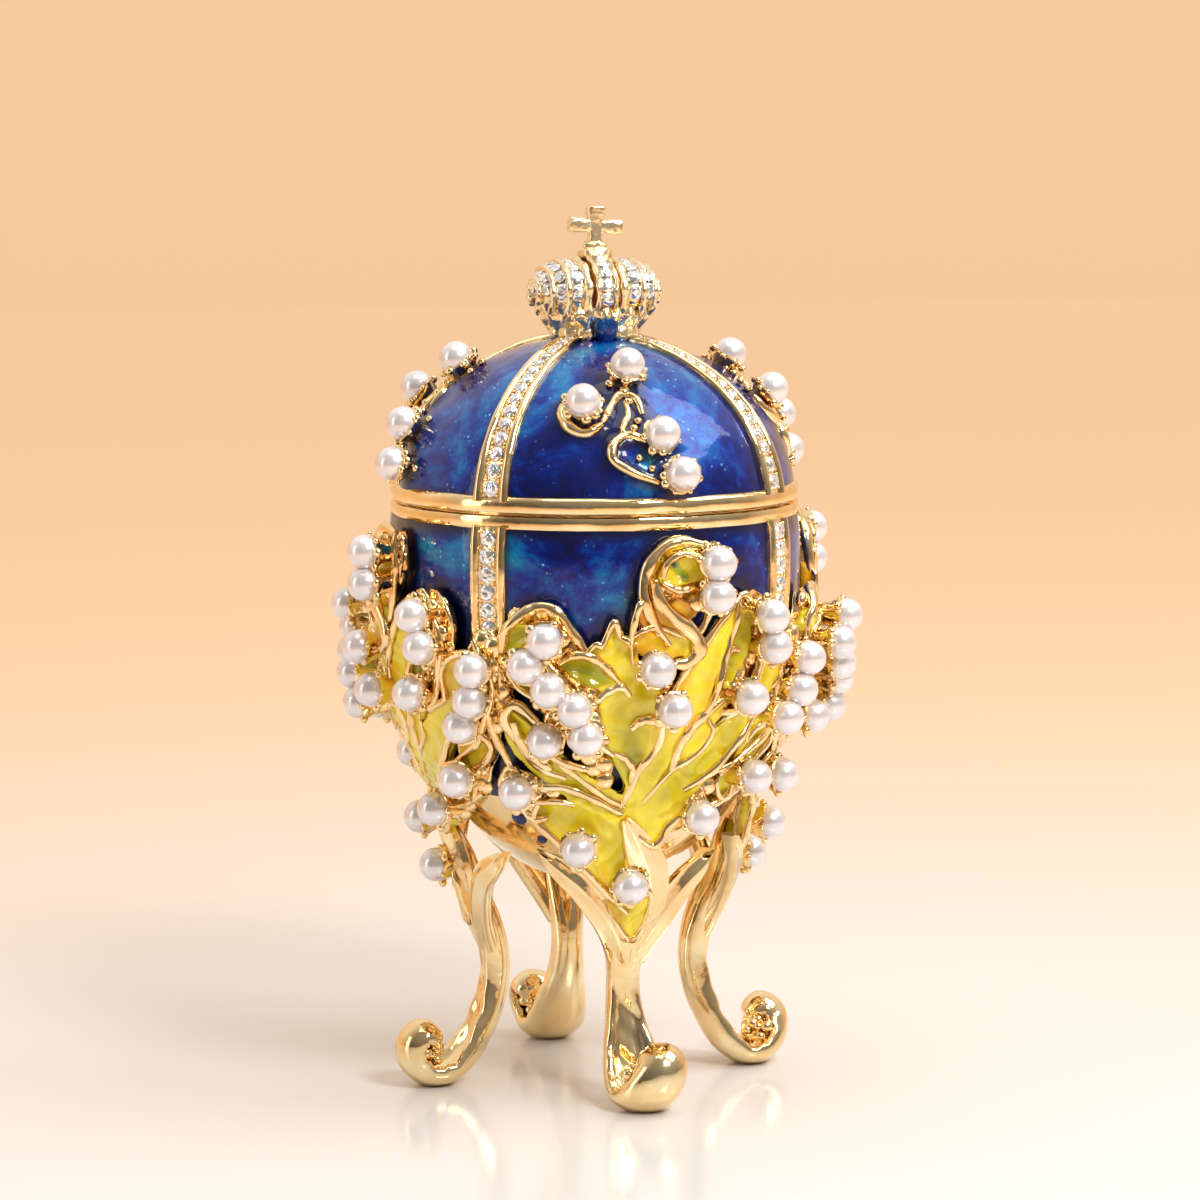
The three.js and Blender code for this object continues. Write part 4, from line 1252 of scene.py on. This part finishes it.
def add_quarter(turn):
    side = QUARTERS[turn]
    leg = [f"lily_leg_{side}"]

    def place(name, shape, material, slot, nodes, sharp=None):
        make_piece(f"{name}_{side}", Shape().add_shape(shape, 90 * turn), material, nodes, sharp=sharp)

    front, rear, quads, tone = relief(ENAMEL_LEAVES, 0.28, 16.8, 61.8, 0.4, 3.6)
    quarter = Shape().add(*closed_sheet(front, rear, quads, tone))
    place("lily_enamel", quarter, YELLOW, "yellow_enamel", leg)

    quarter = Shape()
    rims(quarter, front, quads, 0.4)
    front, rear, quads, tone = relief(GILT_GROUND, 0.34, 25.0, 62.2, 0.3, 2.6)
    radius = np.hypot(front[:, 0], front[:, 1])
    degrees = degrees_of(front)
    under_leaf = np.clip(clearance_of(ENAMEL_LEAVES, degrees, front[:, 2])[0], 0, 1)
    lowest = np.minimum(radius, casting_radius(front[:, 2]) + 0.4)
    front = round_axis(degrees, np.maximum(radius - 0.6 * under_leaf, lowest), front[:, 2])
    # The gold ground under the leaves is painted orange-brown (tone 0.7): painted shade and reflection in the
    # recess behind them.
    quarter.add(*closed_sheet(front, rear, quads, 0 * tone + 0.7))
    rims(quarter, front, quads, 0.26)
    nuggets(quarter, GILT_GROUND, ENAMEL_LEAVES, 0.7, 1.3, 1.55, 5)
    for places in STALKS:
        ridge(quarter, places, 0.5, 1.7, 0.9, 8)
    for centre, outward in body_pearls():
        lift = float(np.hypot(centre[0], centre[1]) - casting_radius(centre[2]))
        cup(quarter, centre, outward, lift - 0.6, 6, float(centre[0] + centre[2]))
    place("lily_cups", quarter, NUGGET, "gold", leg, sharp=60)

    quarter = Shape()
    leg_trunk(quarter)
    scroll_grains(quarter)
    left = [(-1.5, 15), (-8, 19), (-19, 23), (-29, 25.6), (-37.6, 27.6)]
    blade(quarter, left, [1.5, 1.7, 1.6, 1.3, 0.25], [1.5, 1.7, 1.5, 1.2, 0.7])
    right = [(3, 15), (11, 19), (22, 23.2), (30, 25), (36.6, 26.6)]
    blade(quarter, right, [1.5, 1.8, 1.6, 1.3, 0.25], [1.5, 1.7, 1.5, 1.2, 0.7])
    spike = [(5, 17), (7.4, 21.6), (5, 25.6), (-1, 29), (-5.4, 31.4)]
    blade(quarter, spike, [0.9, 2.0, 2.4, 1.5, 0.5], [1.9, 1.8, 1.5, 1.3, 1.4], 0.15)
    for places, half in RIDGES:
        ridge(quarter, places, half * RIDGE_SWELL)
    for places, half, lift in FOLDS:
        ridge(quarter, places, half, lift, 0.62, 12)
    place("lily_gilt", quarter, GILT, "gold", leg, sharp=60)

    body_nodes = [f"pearls_{name}_{side}" for name in BODY_NODES]
    lid_nodes = [f"lid_pearl_{k}_{side}" for k in (1, 2, 3, 4)]
    sets = [("leaf_pearls", body_pearls(), body_nodes), ("lid_pearls", lid_pearls(), lid_nodes)]
    for name, found, nodes in sets:
        pearls = Shape()
        for centre, outward in found:
            pearls.add(*ball(centre, PEARL_RADIUS, 32, 16, outward))
        place(name, pearls, PEARL, "pearl", nodes)


add_bowl()
add_lid()
add_crown()
for turn in range(4):
    add_quarter(turn)
make_piece("bowl_stones", STONES, CRYSTAL, sharp=0)
make_piece("lid_stones", LID_STONES, CRYSTAL, sharp=0)


# Floor, light and camera

def add_floor():
    mesh = bpy.data.meshes.new("floor")
    size = 1.6
    ends = [(-size, -size, 0), (size, -size, 0), (size, size, 0), (-size, size, 0)]
    mesh.from_pydata(ends, [], [(0, 1, 2, 3)])
    made = new_object("floor", mesh)
    material, tree, shader = new_material("floor")
    length = add_node(tree, "ShaderNodeVectorMath", operation="LENGTH")
    tree.links.new(place_of(tree), length.inputs[0])
    near = span(tree, length.outputs["Value"], 0.07, 0.3)
    tint = ramp(tree, near, [(0.0, (0.80, 0.79, 0.79)), (1.0, (0.99, 0.685, 0.455))])
    # Painted light: the far floor glows faintly peach, though it is no lamp.
    painted_glow = ramp(tree, near, [(0.0, (0, 0, 0)), (1.0, (0.088, 0.047, 0.02))])
    feed_all(tree, shader, Base_Color=tint, Emission_Color=painted_glow, Emission_Strength=1.0, Roughness=0.14)
    mesh.materials.append(material)


LIGHTS_AIM = 0.05


def add_area(name, azimuth, elevation, distance, size, power, colour):
    """A soft panel that faces the egg."""
    light = bpy.data.lights.new(name, "AREA")
    light.shape = "RECTANGLE"
    light.size, light.size_y = size
    light.energy = power
    light.color = colour
    made = new_object(name, light)
    rise = math.radians(elevation)
    made.location = round_axis(azimuth, distance * math.cos(rise), LIGHTS_AIM + distance * math.sin(rise))
    made.rotation_euler = (math.pi / 2 - rise, 0, math.radians(azimuth))


def add_world():
    """A warm room: brighter overhead and behind, dimmer in front."""
    world = bpy.data.worlds.new("studio")
    world.use_nodes = True
    tree = world.node_tree
    ground = tree.nodes["Background"]
    split = tree.nodes.new("ShaderNodeSeparateXYZ")
    tree.links.new(tree.nodes.new("ShaderNodeTexCoord").outputs["Generated"], split.inputs[0])
    peach = [(0.0, (0.95, 0.58, 0.33)), (0.3, (0.98, 0.65, 0.39))]
    pale = [(0.55, (1.0, 0.90, 0.80)), (1.0, (1.0, 0.97, 0.94))]
    wall = ramp(tree, span(tree, split.outputs["Z"], -0.2, 1.0), peach + pale)
    behind = span(tree, split.outputs["Y"], -0.4, 0.5)
    overhead = span(tree, split.outputs["Z"], 0.0, 0.6, 0.2, 0.4)
    front = times(tree, overhead, maths(tree, "SUBTRACT", 1.0, behind))
    front = times(tree, front, span(tree, split.outputs["X"], -0.9, 0.5, 0.55, 1.25))
    colour = mix(tree, behind, (0.95, 0.88, 0.81), wall)
    feed_all(tree, ground, Color=colour, Strength=plus_share(tree, front, behind, 0.96))
    bpy.context.scene.world = world


CAMERA_AZIMUTH = -15.5
CAMERA_DISTANCE = 0.44908
CAMERA_HEIGHT = 0.107
CAMERA_PITCH = 0.1212
CAMERA_YAW = 0.0014
CAMERA_LENS = 125.03


def add_camera():
    data = bpy.data.cameras.new("camera")
    data.sensor_width = 36
    data.lens = CAMERA_LENS
    data.clip_start = 0.01
    made = new_object("camera", data)
    made.location = round_axis(CAMERA_AZIMUTH, CAMERA_DISTANCE, CAMERA_HEIGHT)
    made.rotation_euler = (math.pi / 2 - CAMERA_PITCH, 0, math.radians(CAMERA_AZIMUTH) - CAMERA_YAW)
    bpy.context.scene.camera = made


add_floor()
add_world()
add_area("key", 22, 40, 0.6, (0.17, 0.17), 2.0, (1, 0.98, 0.97))
add_area("window", 72, 53, 0.6, (0.36, 0.36), 1.5, (0.97, 0.98, 1))
add_area("top", -30, 80, 0.55, (0.3, 0.3), 0.5, (1, 0.98, 0.96))
add_area("left", -84, 15, 0.6, (0.16, 0.4), 0.4, (1, 0.95, 0.9))
add_camera()
bpy.context.scene.view_settings.view_transform = "Standard"
